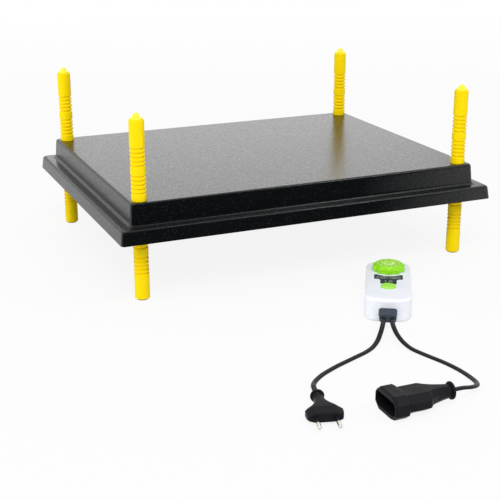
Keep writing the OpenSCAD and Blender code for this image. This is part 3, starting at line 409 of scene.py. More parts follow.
def makePlateShell():
    p = SimpleNamespace(**plate)
    w, foot, ledge, top = p.wall, p.footZ, p.ledgeZ, p.topZ
    lean, steep = p.rimDraft / (ledge - foot), p.blockDraft / (top - ledge)
    blockInset = p.ledgeInset + p.blockDraft
    section = roundedLine(
        [(0, foot), (p.rimDraft, ledge), (p.ledgeInset, ledge), (blockInset, top), (p.farInset, top)],
        [p.edgeRadius, p.filletRadius, p.edgeRadius], p.arcSteps)
    section[-1] = section[-2] + (p.hold, 0)
    lining = roundedLine(
        [(w, foot), (w + p.rimDraft - lean * w, ledge - w), (w + p.ledgeInset - steep * w, ledge - w),
         (w + blockInset - steep * w, top - w), (p.farInset, top - w)],
        [p.liningEdges[0], p.filletRadius + w, p.liningEdges[1]], p.liningSteps)
    lining[-1] = lining[-2] + (p.hold / 2, 0)
    legX, legY, r = p.legX, p.legY, p.cornerRadius
    topW, topD = p.halfWidth - section[-1, 0], p.halfDepth - section[-1, 0]
    shares = [evenTurns(leg, gap, half - r, p.sideTurns) / (half - r)
              for half, leg, gap in ((topW, legX, topD - legY), (topD, legY, topW - legX))]
    outer, inner = (np.stack([plateRing(i, z, *shares) for i, z in line]) for line in (section, lining))
    reachX, reachY = (plate[side] - lining[-1, 0] - p.middleGap for side in ("halfWidth", "halfDepth"))
    middleX = evenTurns(legX, legY, reachX, p.middleTurns)
    middleY = evenTurns(legY, legX, reachY, p.middleTurns)[1:]
    lines = np.vstack([joined(middleX, 0), joined(0, middleY)])
    regions = [(quarterOf(x, y), lines * (x, y), np.array([legX * x, legY * y]), p.holeRadius)
               for x in (-1, 1) for y in (-1, 1)]
    makePiece("plate_shell", holedShell(outer, inner, regions, p.lip), "blackFormedAbs", "plate",
              ["top_shell"])


makePlateShell()
print("plate shell made")


# Legs: a turned tube with groups of round ribs between plain bands, a cap and a pad
legs = {
    "radius": 9, "grooveRadius": 7.2, "bore": 5, "boreDepth": 4, "foot": 32.2, "head": 32.3, "pitch": 5,
    "grooveWidth": 2.6, "grooveFloor": 1.0, "band": 10.1, "ribs": 4, "groups": 5, "ribRound": 0.62,
    "grooveRound": 0.35, "footRound": 1.2, "headRound": 1.6, "floorZ": -79.4, "sharpAngle": 50,
    "capLip": 7.5, "capLipHeight": 2, "capRounds": (0.3, 0.8, 0.6), "domeFoot": 4.5, "domeHeight": 5.3,
    "domeFrom": 0.3, "domeSteps": 12, "stem": 4.95, "stemLength": 9,
    "padThickness": 1.2, "padFoot": 7, "padTop": 7.8, "padRound": 0.3,
}
legCorners = {"front_left": (-1, -1), "front_right": (1, -1), "back_left": (-1, 1), "back_right": (1, 1)}


# From the bore round the foot, up over every groove and round the head into the bore again
def legProfile():
    g = SimpleNamespace(**legs)
    slope = (g.grooveWidth - g.grooveFloor) / 2
    groupHeight = g.ribs * g.pitch + g.grooveWidth
    length = g.foot + g.groups * groupHeight + (g.groups - 1) * g.band + g.head
    starts = [g.foot + k * (groupHeight + g.band) + i * g.pitch
              for k in range(g.groups) for i in range(g.ribs + 1)]
    corners = [(g.bore, g.padThickness + g.boreDepth), (g.bore, g.padThickness), (g.radius, g.padThickness)]
    radii = [0, g.footRound]
    for z in starts:
        corners += [(g.radius, z), (g.grooveRadius, z + slope),
                    (g.grooveRadius, z + g.grooveWidth - slope), (g.radius, z + g.grooveWidth)]
        radii += [g.ribRound, g.grooveRound, g.grooveRound, g.ribRound]
    corners += [(g.radius, length), (g.bore, length), (g.bore, length - g.boreDepth)]
    radii += [g.headRound, 0]
    line = roundedLine(corners, radii, 4)
    return np.concatenate([line, line[:1]]), length


# A stem, a lip with soft edges and an upright half ellipse on it
def capProfile():
    g = SimpleNamespace(**legs)
    t = np.linspace(g.domeFrom, np.pi / 2, g.domeSteps)
    lip, lipZ, stem, stemZ = g.capLip, g.capLipHeight, g.stem, -g.stemLength
    dome = joined(g.domeFoot * np.cos(t), lipZ + g.domeHeight * np.sin(t))
    line = roundedLine([(0, stemZ), (stem, stemZ), (stem, 0), (lip, 0), (lip, lipZ), (g.domeFoot, lipZ),
                        dome[0]], [0, 0, *g.capRounds], 5)
    return np.vstack([line, dome[1:]])


# A low cone with a stem on it
def padProfile():
    g = SimpleNamespace(**legs)
    z, stemZ = g.padThickness, g.padThickness + g.stemLength
    return roundedLine([(0, 0), (g.padFoot, 0), (g.padTop, z), (g.stem, z), (g.stem, stemZ),
                        (0, stemZ)], [g.padRound, 0, 0, 0], 3)


ribbedLine, legLength = legProfile()
for corner, (x, y) in legCorners.items():
    foot = np.array([x * plate["legX"], y * plate["legY"], legs["floorZ"]])
    head = foot + (0, 0, legLength)
    for piece, line, centre, finish, node, slotName in (
            ("ribbed_leg_", ribbedLine, foot, "yellowPolypropylene", "leg_", "yellow_leg"),
            ("coned_cap_", capProfile(), head, "yellowCapPolyethylene", "leg_cap_", "yellow_cap"),
            # the pad's black band also stands in for the contact shade at the leg's foot
            ("foot_pad_", padProfile(), foot, "blackPadAndFootShade", "leg_pad_", "black_pad")):
        makePiece(piece + corner, [lathe(line, centre)], finish, corner + "_leg", [node + corner],
                  legs["sharpAngle"])
print("legs made")


# Controller: its own axes run across it, towards its dial end and up from the floor
controller = {
    "place": (45, -295, -79.4), "turn": -30, "halfWidth": 27, "halfLength": 64, "height": 28,
    "cornerRadius": 15.5, "bulge": 1.5, "split": 13, "seam": 0.35, "wall": 2, "faceEdge": 3, "backEdge": 4,
    "liningRound": 1.5, "hold": 0.5, "dialY": 35.1, "buttonY": -22.5, "splitY": 6.3, "spindleHole": 4,
    "buttonHole": 9, "faceLip": 0.3, "screwX": 18, "screwY": 51, "screwHole": 2.6, "screwLip": 0.2,
    "acrossGap": 5, "acrossPoints": 15, "alongGap": 6, "alongPoints": 21, "sidePoints": 17, "arcPoints": 13,
}


def inController(points):
    turn = math.radians(controller["turn"])
    c, s = math.cos(turn), math.sin(turn)
    return points @ np.array([[c, s, 0], [-s, c, 0], [0, 0, 1]]) + np.array(controller["place"])


# A ring of two straight sides, four round corners and two ends that bulge as a parabola does
def controllerRing(inset, z):
    k = SimpleNamespace(**controller)
    w, l, r = k.halfWidth - inset, k.halfLength - inset, k.cornerRadius - inset
    run = k.halfLength - k.cornerRadius
    side = np.unique(np.concatenate([np.linspace(-run, run, k.sidePoints), [k.splitY, 0]]))
    s = np.linspace(1, -1, k.arcPoints)[1:-1]
    t = np.linspace(0, np.pi / 2, k.arcPoints)
    arc = joined(np.cos(t), np.sin(t)) * r
    end = joined(s * (w - r), l + k.bulge * (1 - s * s))
    ring = np.vstack([
        joined(w, side), arc + (w - r, l - r), end, (arc * (-1, 1))[::-1] + (r - w, l - r),
        joined(-w, side[::-1]), arc * (-1, -1) + (r - w, r - l), end * (-1, -1),
        (arc * (1, -1))[::-1] + (w - r, r - l)])
    return atHeight(ring, z)


# Two half shells that meet at a fine seam: the face is holed for dial and button, the rear for its screws
def makeControllerShells():
    k = SimpleNamespace(**controller)
    mid, w = k.halfWidth, k.wall
    across = np.linspace(k.acrossGap - mid, mid - k.acrossGap, k.acrossPoints)
    along = np.linspace(k.alongGap - k.halfLength, k.halfLength - k.alongGap, k.alongPoints)
    line = joined(across, k.splitY)
    faceRegions = [(lambda ring, e=e: (ring[:, 1] - k.splitY) * e > -nearZero, line, np.array([0.0, y]), r)
                   for e, y, r in ((1, k.dialY, k.spindleHole), (-1, k.buttonY, k.buttonHole))]
    cross = np.vstack([joined(across, 0), joined(0, along)])
    rearRegions = [(quarterOf(x, y), cross[quarterOf(x, y)(cross)],
                    np.array([x * k.screwX, y * k.screwY]), k.screwHole)
                   for x in (-1, 1) for y in (-1, 1)]
    for name, node, endZ, way, edge, regions, lip in (
            ("controller_face_shell", "controller_front", k.height, 1, k.faceEdge, faceRegions, k.faceLip),
            ("controller_rear_shell", "controller_back", 0, -1, k.backEdge, rearRegions, k.screwLip)):
        skins = [roundedLine([(k.seam, k.split), (0, k.split + way * k.seam), (0, endZ), (mid, endZ)],
                             [0, edge], 8),
                 roundedLine([(w, k.split), (w, endZ - way * w), (mid, endZ - way * w)], [k.liningRound], 4)]
        for skin in skins:
            skin[-1] = skin[-2] + (k.hold, 0)
        shell = holedShell(*(np.stack([controllerRing(i, z) for i, z in skin]) for skin in skins), regions, lip)
        makePiece(name, carried(shell, inController), "whiteAbs", "plate", [node])


makeControllerShells()
print("controller shells made")


# Dial: a lobed outline, the larger of a circle and ten round lobes, rounded over into a cone
dial = {
    "rootRadius": 17.5, "lobeReach": 19.8, "lobeRadius": 4.2, "lobes": 10, "lobeSoft": 0.35, "sides": 360,
    "z": 28.5, "height": 8, "rimDrop": 2.2, "rimRadius": 15.5, "faceRadius": 14, "faceDepth": 0.8, "round": 1.3,
    "roundSteps": 7, "footInsets": (0.5, 0.15, 0), "footHeights": (0, 0.15, 0.6), "slopeFoot": (-1.2, 0.25),
    "rimSteps": ((0.3, -0.35), (-0.15, -0.05), (-0.6, 0)), "recessLip": (0.15, 0.1), "recessGap": 0.05,
    "spindle": 3.05, "spindleDepth": 6.6, "spindleLip": (1, 0.5), "discEdge": 0.2,
    "dotAngles": range(90, 414, 36), "dotRing": 10.75, "dotRadius": 1.35, "firstDotRadius": 1.6,
    "inkHeight": 0.06, "inkEdge": (0.15, 0.6), "arcRadius": 5.1, "arcWidth": 1.5, "arcSweep": (30, -230),
    "arcSteps": 60, "arcTaper": ([0, 6, 59], [0.55, 1, 0.12]),
}


# A smooth maximum of the lobe's radius and the round body's, soft over lobeSoft millimetres
def lobedRadius(t):
    d = SimpleNamespace(**dial)
    centre = d.lobeReach - d.lobeRadius
    step = 2 * np.pi / d.lobes
    turn = (t - np.pi / 2 + step / 2) % step - step / 2
    lobe = centre * np.cos(turn) + np.sqrt(np.maximum(d.lobeRadius ** 2 - (centre * np.sin(turn)) ** 2, 0))
    return d.lobeSoft * np.logaddexp(lobe / d.lobeSoft, d.rootRadius / d.lobeSoft)


# Radius by angle and height, from the spindle's bore under the rim and over it to the recess
def makeDial():
    d = SimpleNamespace(**dial)
    t = fullTurn(d.sides)
    q = np.linspace(0, np.pi / 2, d.roundSteps)
    high, shoulder = d.height, d.height - d.rimDrop
    insets = np.concatenate([d.footInsets, d.round * (1 - np.cos(q))])
    heights = np.concatenate([d.footHeights, shoulder - d.round * (1 - np.sin(q))])
    well, floorZ = d.faceRadius + d.recessGap, high - d.faceDepth - d.recessGap
    lipWidth, lipDrop = d.recessLip
    cone = np.array([(d.rootRadius + d.slopeFoot[0], shoulder + d.slopeFoot[1])]
                    + [(d.rimRadius + r, high + z) for r, z in d.rimSteps]
                    + [(d.faceRadius + lipWidth, high), (well, high - lipDrop), (well, floorZ), (0, floorZ)])
    bore, boreZ = d.spindle, d.spindleDepth
    under = np.array([(0, boreZ), (bore, boreZ), (bore, d.spindleLip[1]), (bore + d.spindleLip[0], 0)])
    radii = np.vstack([np.broadcast_to(under[:, :1], (len(under), len(t))), lobedRadius(t) - insets[:, None],
                       np.broadcast_to(cone[:, :1], (len(cone), len(t)))])
    zs = np.concatenate([under[:, 1], heights, cone[:, 1]])
    grid = joined(radii * np.cos(t), radii * np.sin(t) + controller["dialY"], (zs + d.z)[:, None])
    makePiece("lobed_dial", [inController(grid)], "greenDialAbs", "dial", ["dial_knob"], 42)
    top, low = d.z + high, d.z + high - d.faceDepth
    disc = roundedLine([(0, low), (d.faceRadius, low), (d.faceRadius, top), (0, top)], [0, d.discEdge], 3)
    makePiece("dial_disc", [inController(lathe(disc, (0, controller["dialY"], 0), 120))], "lightGreenDisc",
              "dial", ["dial_face"])
    ink, dots = d.inkHeight, []
    edge, edgeShare = d.inkEdge
    for i, angle in enumerate(d.dotAngles):
        r = d.firstDotRadius if i == 0 else d.dotRadius
        a = math.radians(angle)
        middle = (d.dotRing * math.cos(a), controller["dialY"] + d.dotRing * math.sin(a), top)
        drop = np.array([(0, -ink), (r, -ink), (r, ink * edgeShare), (r - edge, ink), (0, ink)])
        dots.append(lathe(drop, middle, 20))
    makePiece("dial_dots", carried(dots, inController), "slateInk", "dial")
    a = np.radians(np.linspace(*d.arcSweep, d.arcSteps))
    width = d.arcWidth * np.interp(np.arange(d.arcSteps), *d.arcTaper) / 2
    sides = np.array([(-1, -1), (-1, 1), (1, 1), (1, -1)])
    ring = d.arcRadius + width[:, None] * sides[:, 0]
    arc = joined(ring * np.cos(a)[:, None], ring * np.sin(a)[:, None] + controller["dialY"],
                 top + ink * sides[:, 1])
    makePiece("dial_arc", carried(cappedTube(arc), inController), "whiteInk", "dial")


makeDial()

# Push button: a low dome on a skirt and a stem
button = {"radius": 8.7, "skirt": 10.2, "stem": 2.5, "footZ": 17.1, "skirtZ": 24.3, "skirtTop": 25.7, "top": 30,
          "domeDrop": 0.45, "domeShare": 0.5, "rounds": [0, 0, 0.3, 0.3, 0, 0.9, 6]}
b = SimpleNamespace(**button)
buttonProfile = roundedLine(
    [(0, b.footZ), (b.stem, b.footZ), (b.stem, b.skirtZ), (b.skirt, b.skirtZ),
     (b.skirt, b.skirtTop), (b.radius, b.skirtTop), (b.radius, b.top - b.domeDrop),
     (b.radius * b.domeShare, b.top), (0, b.top)], b.rounds, 7)
makePiece("domed_button", [inController(lathe(buttonProfile, (0, controller["buttonY"], 0), 96))],
          "greenButtonAbs", "button", ["power_button"], 50)
print("dial and button made")


# Panel: a T outline with hollows round the dial and the button, and hollow shoulders
panel = {
    "halfWidth": 16.85, "halfNeck": 9.55, "top": 16.6, "headLength": 14.8, "bottom": -13.8, "dialHollow": 23.2,
    "buttonHollow": 11, "shoulder": 5, "cornerRound": 0.7, "z": 27.5, "faceZ": 28.3, "middleY": 3.0, "edge": 0.2,
    "innerShare": 0.9, "ink": 0.05, "windowX": 7.7, "windowY": 6.9, "windowHalf": (5.9, 3.2),
    "windowPowers": (0.45, 0.7), "windowLine": 0.45, "bars": (1.2, 1.8, 2.4), "barPitch": 2.4, "barWidth": 0.8,
    "signY": -5.4, "onX": -3.4, "onHalf": 1.8, "onWidth": 0.6, "offX": 2.6, "offRadius": 1.7, "offWidth": 0.55,
}


# A raised line of ink: a flat band of one width along points on the panel
def inkStrip(points, width, loop):
    p = SimpleNamespace(**panel)
    points = np.array(points, float)
    ahead = np.roll(points, -1, 0) - np.roll(points, 1, 0) if loop else np.gradient(points, axis=0)
    across = unit(joined(-ahead[:, 1], ahead[:, 0])) * width / 2
    under, over = p.faceZ - p.ink, p.faceZ + p.ink
    rows = np.stack([atHeight(points + s * across, h)
                     for s, h in ((-1, under), (-1, over), (1, over), (1, under))], 1)
    return [np.concatenate([rows, rows[:, :1]], 1).transpose(1, 0, 2)] if loop else cappedTube(rows)


# Half the outline is five arcs and lines, mirrored; the film is that outline with a fine edge and a flat face
def makePanel():
    p = SimpleNamespace(**panel)
    dialY, buttonY, low = controller["dialY"], controller["buttonY"], p.top - p.headLength
    halves = []
    for radius, rise in ((p.dialHollow, dialY - p.top), (p.buttonHollow, p.bottom - buttonY)):
        halves.append(math.asin(math.sqrt(radius ** 2 - rise ** 2) / radius))
    a, e = np.linspace(0, halves[0], 12), np.linspace(halves[1], 0, 9)
    hollow = joined(p.dialHollow * np.sin(a), dialY - p.dialHollow * np.cos(a))
    foot = joined(p.buttonHollow * np.sin(e), buttonY + p.buttonHollow * np.cos(e))
    c, s = np.linspace(np.pi / 2, np.pi, 9), p.shoulder
    shoulder = joined(p.halfNeck + s + s * np.cos(c), low - s + s * np.sin(c))
    r = p.cornerRound
    ears = roundedLine([hollow[-1], (p.halfWidth, p.top), (p.halfWidth, low), shoulder[0]], [r, r], 4)
    toes = roundedLine([shoulder[-1], (p.halfNeck, p.bottom), foot[0]], [r], 4)
    side = np.vstack([hollow, ears[1:-1], shoulder, toes[1:-1], foot])
    outline = np.vstack([side, (side * (-1, 1))[::-1]])
    middle = np.array([0, p.middleY])
    away = unit(outline - middle)
    grid = np.stack([atHeight(xy, z) for xy, z in (
        (outline, p.z), (outline, p.faceZ - p.edge), (outline - away * p.edge, p.faceZ),
        (middle + (outline - middle) * p.innerShare, p.faceZ), (0 * outline + middle, p.faceZ))])
    makePiece("panel_film", carried([grid, capFan(grid[0])], inController), "darkPolyesterFilm", "plate",
              ["control_panel"])
    # Two outlined windows with level bars, and the marks for on and off
    t = fullTurn(48)
    (halfX, halfY), (powerX, powerY), y = p.windowHalf, p.windowPowers, p.windowY
    marks = []
    for hand in (-1, 1):
        x = hand * p.windowX
        marks += inkStrip(joined(x + halfX * swelled(np.cos(t), powerX), y + halfY * swelled(np.sin(t), powerY)),
                          p.windowLine, True)
        for i, length in enumerate(p.bars):
            barX = x - hand * (i - 1) * p.barPitch
            marks += inkStrip([(barX, y - length / 2), (barX, y + length / 2)], p.barWidth, False)
    y = p.signY
    marks += inkStrip([(p.onX, y - p.onHalf), (p.onX, y + p.onHalf)], p.onWidth, False)
    marks += inkStrip(joined(p.offX + p.offRadius * np.cos(t), y + p.offRadius * np.sin(t)), p.offWidth, True)
    makePiece("panel_marks", carried(marks, inController), "paleScreenPrint", "plate")


makePanel()
print("panel made")


# Cord boot: a tapered rounded block whose grip bars are staggered left and right
boot = {
    "start": -65.8, "length": 18.5, "halfWidth": 10.5, "endHalfWidth": 9.25, "halfThick": 5.5, "endHalfThick": 4.8,
    "z": 13, "roundness": 6, "endRound": 0.9, "endRun": 1.0, "barPitch": 4.2, "barDepth": 0.8, "barSharp": 4,
    "barShift": 0.1, "barEnds": 1.6, "barFade": 0.6, "spine": 0.06, "spineFade": 0.08, "barReach": 0.86,
    "neckHalfWidth": 7.5, "neckHalfThick": 4, "neckEnd": -60.7, "neckIn": 0.5,
}


# Swelled ellipses along y; a bar's depth is a soft square wave, half a pitch apart on the two sides
def makeBoot():
    k = SimpleNamespace(**boot)
    y, t = np.linspace(0, k.length, 112), fullTurn(96)
    share = (y / k.length)[:, None]
    w = k.halfWidth + (k.endHalfWidth - k.halfWidth) * share
    h = k.halfThick + (k.endHalfThick - k.halfThick) * share
    cx, sz = (swelled(f, 2 / k.roundness) for f in (np.cos(t), np.sin(t)))
    phase = 2 * np.pi * (y[:, None] / k.barPitch + 0.5 * (np.cos(t) > 0))
    wave = 0.5 + 0.5 * np.tanh(k.barSharp * (np.sin(phase) - k.barShift))
    ends = np.clip(np.minimum(y - k.barEnds, k.length - k.barEnds - y) / k.barFade, 0, 1)[:, None]
    spine = np.clip((np.abs(cx) - k.spine) / k.spineFade, 0, 1)
    cut = k.barDepth * wave * ends * spine * (np.abs(cx) < k.barReach)
    edge = np.clip(np.minimum(y, k.length - y) / k.endRun, 0, 1)[:, None]
    rounding = k.endRound * (1 - np.sqrt(np.maximum(1 - (1 - edge) ** 2, 0)))
    grid = joined((w - rounding) * cx, k.start - y[:, None], k.z + (h - rounding - cut) * sz)
    neckEnds = np.array([[k.start - k.neckIn], [k.neckEnd]])
    neck = joined(k.neckHalfWidth * cx, neckEnds, k.z + k.neckHalfThick * sz)
    return makePiece("ribbed_boot", carried(cappedTube(grid) + cappedTube(neck), inController), "greyBootRubber",
                     "plate", ["cord_boot"], 50)


bootPiece = makeBoot()
print("boot made")


# Leads: flat oval cords whose routes repeat those of the solids, from the boot's end
leads = {"halfWidth": 2.7, "halfThick": 1.7, "bootEnd": -84.3, "steps": 8, "sides": 20, "swell": 0.8,
         "groove": 0.18, "grooveWidth": 0.7}
mainsRoute = [
    (-5, 0, 13), (-5, -9.5, 13), (-6, -20.5, 11.6), (-8, -32.5, 8.2), (-11, -44.5, 4.6), (-16, -56.5, 2.3),
    (-23, -68.5, 1.8), (-32, -80.5, 1.8), (-41, -92.5, 1.8), (-50, -104.5, 1.8), (-58, -116.5, 1.8),
    (-65, -128.5, 1.8), (-70, -141.5, 2.2), (-72, -154.5, 4), (-71.5, -165.5, 6.2), (-69.5, -175.5, 7),
    (-67, -185.5, 7)]
outletRoute = [
    (5, 0, 13), (5, -9.5, 13), (6.5, -20.5, 11.6), (10.5, -32.5, 8.2), (17, -44, 4.6), (25.5, -54.5, 2.3),
    (36, -64.5, 1.8), (47, -74.5, 1.8), (58, -84.5, 1.8), (68, -95.5, 1.8), (77, -107.5, 1.8),
    (84, -120.5, 2.2), (87.5, -133.5, 4), (86.5, -146.5, 7), (80.5, -157, 10), (71.4, -164, 12), (61, -170, 12)]
upwards = np.array([0, 0, 1])


# A smooth line through the route's points: each stretch is a cubic with the neighbours' slope at its ends
def smoothRoute(route, steps):
    p = inController(np.array(route, float) + (0, leads["bootEnd"], 0))
    slope = np.gradient(p, axis=0)
    slope[0], slope[-1] = p[1] - p[0], p[-1] - p[-2]
    t = np.linspace(0, 1, steps, endpoint=False)[:, None]
    h = (2 * t**3 - 3 * t**2 + 1, t**3 - 2 * t**2 + t, -2 * t**3 + 3 * t**2, t**3 - t**2)
    runs = [h[0] * a + h[1] * u + h[2] * b + h[3] * v for a, b, u, v in zip(p, p[1:], slope, slope[1:])]
    return np.vstack(runs + [p[-1:]])


# Level axes along a path: ahead, to the side and upwards
def pathAxes(path):
    ahead = unit(np.gradient(path, axis=0))
    side = unit(np.cross(ahead, upwards))
    return ahead, side, np.cross(side, ahead)


# A flat oval carried along the route, with a shallow line between its two cores
def makeLead(name, route, node):
    k = SimpleNamespace(**leads)
    path = smoothRoute(route, k.steps)
    ahead, side, rise = pathAxes(path)
    t = fullTurn(k.sides)
    across = swelled(np.cos(t), k.swell) * k.halfWidth
    upward = np.sin(t) * (k.halfThick - k.groove * np.exp(-(across / k.grooveWidth) ** 2))
    grid = path[:, None] + side[:, None] * across[:, None] + rise[:, None] * upward[:, None]
    return makePiece(name, cappedTube(grid), "blackCordPvc", "plate", [node], 60), path


mainsPiece, mainsPath = makeLead("mains_cord", mainsRoute, "mains_lead")
outletPiece, outletPath = makeLead("outlet_cord", outletRoute, "outlet_lead")


# What a lead ends in has its own axes: x across, y on from the lead's end, z up
def atLeadEnd(points, path):
    ahead = unit(pathAxes(path)[0][-1] * (1, 1, 0))
    side = np.cross(ahead, upwards)
    return points[..., :1] * side + points[..., 1:2] * ahead + points[..., 2:] * upwards + path[-1]


# Sections of a moulded grip: an eight-cornered outline with rounded corners, its sizes read along its length
def gripRings(stations, halfWidths, halfThicks, flats, edges, rounds, y):
    w, h, flat, edge, soft = (np.interp(y, stations, v)[:, None]
                              for v in (halfWidths, halfThicks, flats, edges, rounds))
    x = np.concatenate([w, w, w * flat, -w * flat, -w, -w, -w * flat, w * flat], 1)
    z = np.concatenate([-h * edge, h * edge, h, h, h * edge, -h * edge, -h, -h], 1)
    corner = joined(x, z)
    before, after = np.roll(corner, 1, 1), np.roll(corner, -1, 1)
    t = np.linspace(0, 1, 6)[None, None, :, None]
    a = corner + (before - corner) * soft[..., None] / 2
    b = corner + (after - corner) * soft[..., None] / 2
    curve = (1 - t) ** 2 * a[:, :, None] + 2 * t * (1 - t) * corner[:, :, None] + t**2 * b[:, :, None]
    ring = curve.reshape(len(y), -1, 2)
    return joined(ring[..., 0], y[:, None], ring[..., 1])


# Even places along a grip, with its stations among them
def gripPlaces(start, end, count, stations):
    return np.unique(np.concatenate([np.linspace(start, end, count), stations]))


# A round collar or pin along y: a profile of radius and place
def alongY(profile, x=0.0, segments=48):
    grid = lathe(profile, segments=segments)
    return joined(grid[..., 0] + x, grid[..., 2], grid[..., 1])


# The collar where a lead goes into its grip: a disc with round edges
def gripCollar(radius, thickness, soft):
    return alongY(roundedLine([(0, 0), (radius, 0), (radius, thickness), (0, thickness)], [soft, soft], 5))


# Plug: collar, grooved neck, hollow flare and flat body, with sleeved pins
plug = {
    "length": 47, "places": 96, "collar": (7, 2.6, 1.1), "pinPitch": 19, "pinLength": 19, "pinRadius": 2,
    "pinTip": 1.4, "pinStep": 0.25, "coreRadius": 1.25, "coreDepth": 8, "sleeveLength": 10, "sleeveRadius": 1.75,
    "sleeveBore": 1.3, "sleeveEdge": 0.15,
    "stations": [2.6, 6.6, 7.0, 9.0, 9.4, 14, 19.7, 26.3, 32, 35.7, 42.3, 46, 47],
    "widths": [5.2, 5.2, 4.5, 4.5, 5.2, 5.6, 6.6, 10.1, 15.5, 18, 17.6, 16.4, 15.4],
    "thicks": [5.2, 5.2, 4.5, 4.5, 5.2, 5.6, 6.2, 6.8, 7, 6.9, 5.6, 4.9, 4.3],  # slopes down to the pins
    "flats": [0.42] * 5 + [0.45, 0.5, 0.56] + [0.62] * 5, "edges": [0.42] * 9 + [0.43, 0.53, 0.58, 0.58],
    "rounds": [0.95] * 5 + [0.8, 0.5, 0.32, 0.26, 0.25, 0.25, 0.3, 0.35],
}
gripSizes = ("stations", "widths", "thicks", "flats", "edges", "rounds")


def makePlug():
    k = SimpleNamespace(**plug)
    body = gripRings(*(plug[size] for size in gripSizes), gripPlaces(0, k.length, k.places, k.stations))
    patches = cappedTube(body) + [gripCollar(*k.collar)]
    return makePiece("flat_plug", carried(patches, atLeadEnd, mainsPath), "blackPlugPvc", "plate", ["mains_plug"],
                     34)


# Turned pins with a thin core, and the sleeves that fill out the core
def makePins():
    k = SimpleNamespace(**plug)
    face, tip = k.length, k.length + k.pinLength
    root, sleeveEnd = face - k.coreDepth, face + k.sleeveLength
    core, pin, bore, skin = (plug[size] for size in ("coreRadius", "pinRadius", "sleeveBore", "sleeveRadius"))
    metal = roundedLine([(0, root), (core, root), (core, sleeveEnd), (pin, sleeveEnd), (pin, tip), (0, tip)],
                        [0, 0, k.pinStep, k.pinTip], 6)
    sleeve = roundedLine([(bore, face), (skin, face), (skin, sleeveEnd), (bore, sleeveEnd), (bore, face)],
                         [0, k.sleeveEdge, 0], 3)
    sides = [e * k.pinPitch / 2 for e in (-1, 1)]
    return [makePiece(name, carried([alongY(line, x, 32) for x in sides], atLeadEnd, mainsPath), finish,
                      "plate", [node], 45)
            for name, line, finish, node, slotName in (
                ("round_pins", metal, "nickelPlate", "plug_pins", "pin_metal"),
                ("dark_sleeves", sleeve, "blackPlugPvc", "pin_sleeves", "black_plug"))]


plugPieces = [makePlug()] + makePins()

# Coupler: collar, hollow neck, eight-sided body and a wider mouth with its sunk face
coupler = {
    "length": 72.5, "places": 60, "collar": (9, 2.6, 1.1), "stations": [0, 2.6, 11.6, 20.3, 27.6, 32.6, 34.5, 55.9],
    "widths": [6.0, 6.3, 7.4, 9.6, 13.3, 18.2, 18.5, 18.5], "thicks": [6.0, 6.3, 7.1, 8.0, 8.9, 9.4, 9.5, 9.5],
    "flats": [0.5, 0.5, 0.52, 0.55, 0.56, 0.56, 0.56, 0.56], "edges": [0.4] * 8,
    "rounds": [0.8, 0.7, 0.4, 0.28, 0.2, 0.14, 0.12, 0.12], "mouthPlaces": 24,
    "recessHalfWidth": 18.3, "recessHalfThick": 7.3, "recessDepth": 12, "recessDraft": (0.3, 0.2),
    "contactX": 9.5, "contactHole": 2.6, "contactLip": 0.3, "contactDepth": 16, "middlePoints": 7, "middleGap": 1,
}
mouthStart, mouthEnd = coupler["stations"][-1], coupler["length"]
mouth = {
    "stations": [mouthStart, mouthStart + 2.5, mouthEnd - 2.5, mouthEnd - 0.5, mouthEnd],
    "widths": [19, 21.5, 21.5, 19.5, 19], "thicks": [10.6, 12, 12, 11, 10.7], "flats": [0.62] * 5,
    "edges": [0.45] * 5, "rounds": [0.16] * 5,
}


def makeCoupler():
    k = SimpleNamespace(**coupler)
    body = gripRings(*(coupler[size] for size in gripSizes), gripPlaces(0, mouthStart, k.places, k.stations))
    block = gripRings(*(mouth[size] for size in gripSizes),
                      gripPlaces(mouthStart, mouthEnd, k.mouthPlaces, mouth["stations"]))
    w, h, floorY = k.recessHalfWidth, k.recessHalfThick, mouthEnd - k.recessDepth
    inside = gripRings([floorY, mouthEnd], [w - k.recessDraft[0], w], [h - k.recessDraft[1], h], [0.8] * 2,
                       [0.5] * 2, [0.3] * 2, np.array([mouthEnd, floorY]))
    floorRing, patches = inside[-1], []
    upright = np.linspace(k.middleGap - h, h - k.middleGap, k.middlePoints)
    line = joined(0, upright)
    for e in (-1, 1):
        loop = np.vstack([floorRing[floorRing[:, 0] * e > 0][:, [0, 2]], line])
        centre = np.array([e * k.contactX, 0.0])
        order, angles = aboutHole(loop, centre)
        patch = holePatch(loop[order], angles, centre, k.contactHole, 0, k.contactLip, k.contactDepth)
        patches.append(joined(patch[..., 0], floorY + patch[..., 2], patch[..., 1]))
        patches.append(capFan(patches[-1][-1]))
        # the sliver between the halves' shared line and the recess's level edge
        level = floorRing[floorRing[:, 2] * e > 0]
        ends = [min(level[level[:, 0] * s > 0], key=lambda point: abs(point[0])) for s in (-1, 1)]
        tip = np.array([0, floorRing[0, 1], e * upright[-1]])
        patches.append(np.array([[*ends, tip], [tip, tip, tip]]))
    patches += cappedTube(body) + [block, capFan(block[0]), inside, np.stack([block[-1], inside[0]]),
                                   gripCollar(*k.collar)]
    return makePiece("coupler_body", carried(patches, atLeadEnd, outletPath), "blackPlugPvc", "plate",
                     ["coupler"], 30)


couplerPiece = makeCoupler()


def cordLength(path):
    return float(np.linalg.norm(np.diff(path, axis=0), axis=1).sum() * mm)


print("leads, plug and coupler made:", round(cordLength(mainsPath), 3), round(cordLength(outletPath), 3))


# Cord inlet's cap: a dome with flutes round its grip
gland = {"place": (0, 182.3, 29.5), "lean": math.atan(2 / 27), "start": 4, "length": 10, "radius": 7.5, "bore": 4,
         "domeHeight": 3.4, "mouthWidth": 0.9, "rounds": [0.4, 2.4, 0.4, 0.3], "flutes": 16, "fluteDepth": 0.45,
         "fluteFrom": 0.6, "fluteTo": 3.6, "fluteFade": 0.6, "fluteRadius": 5}


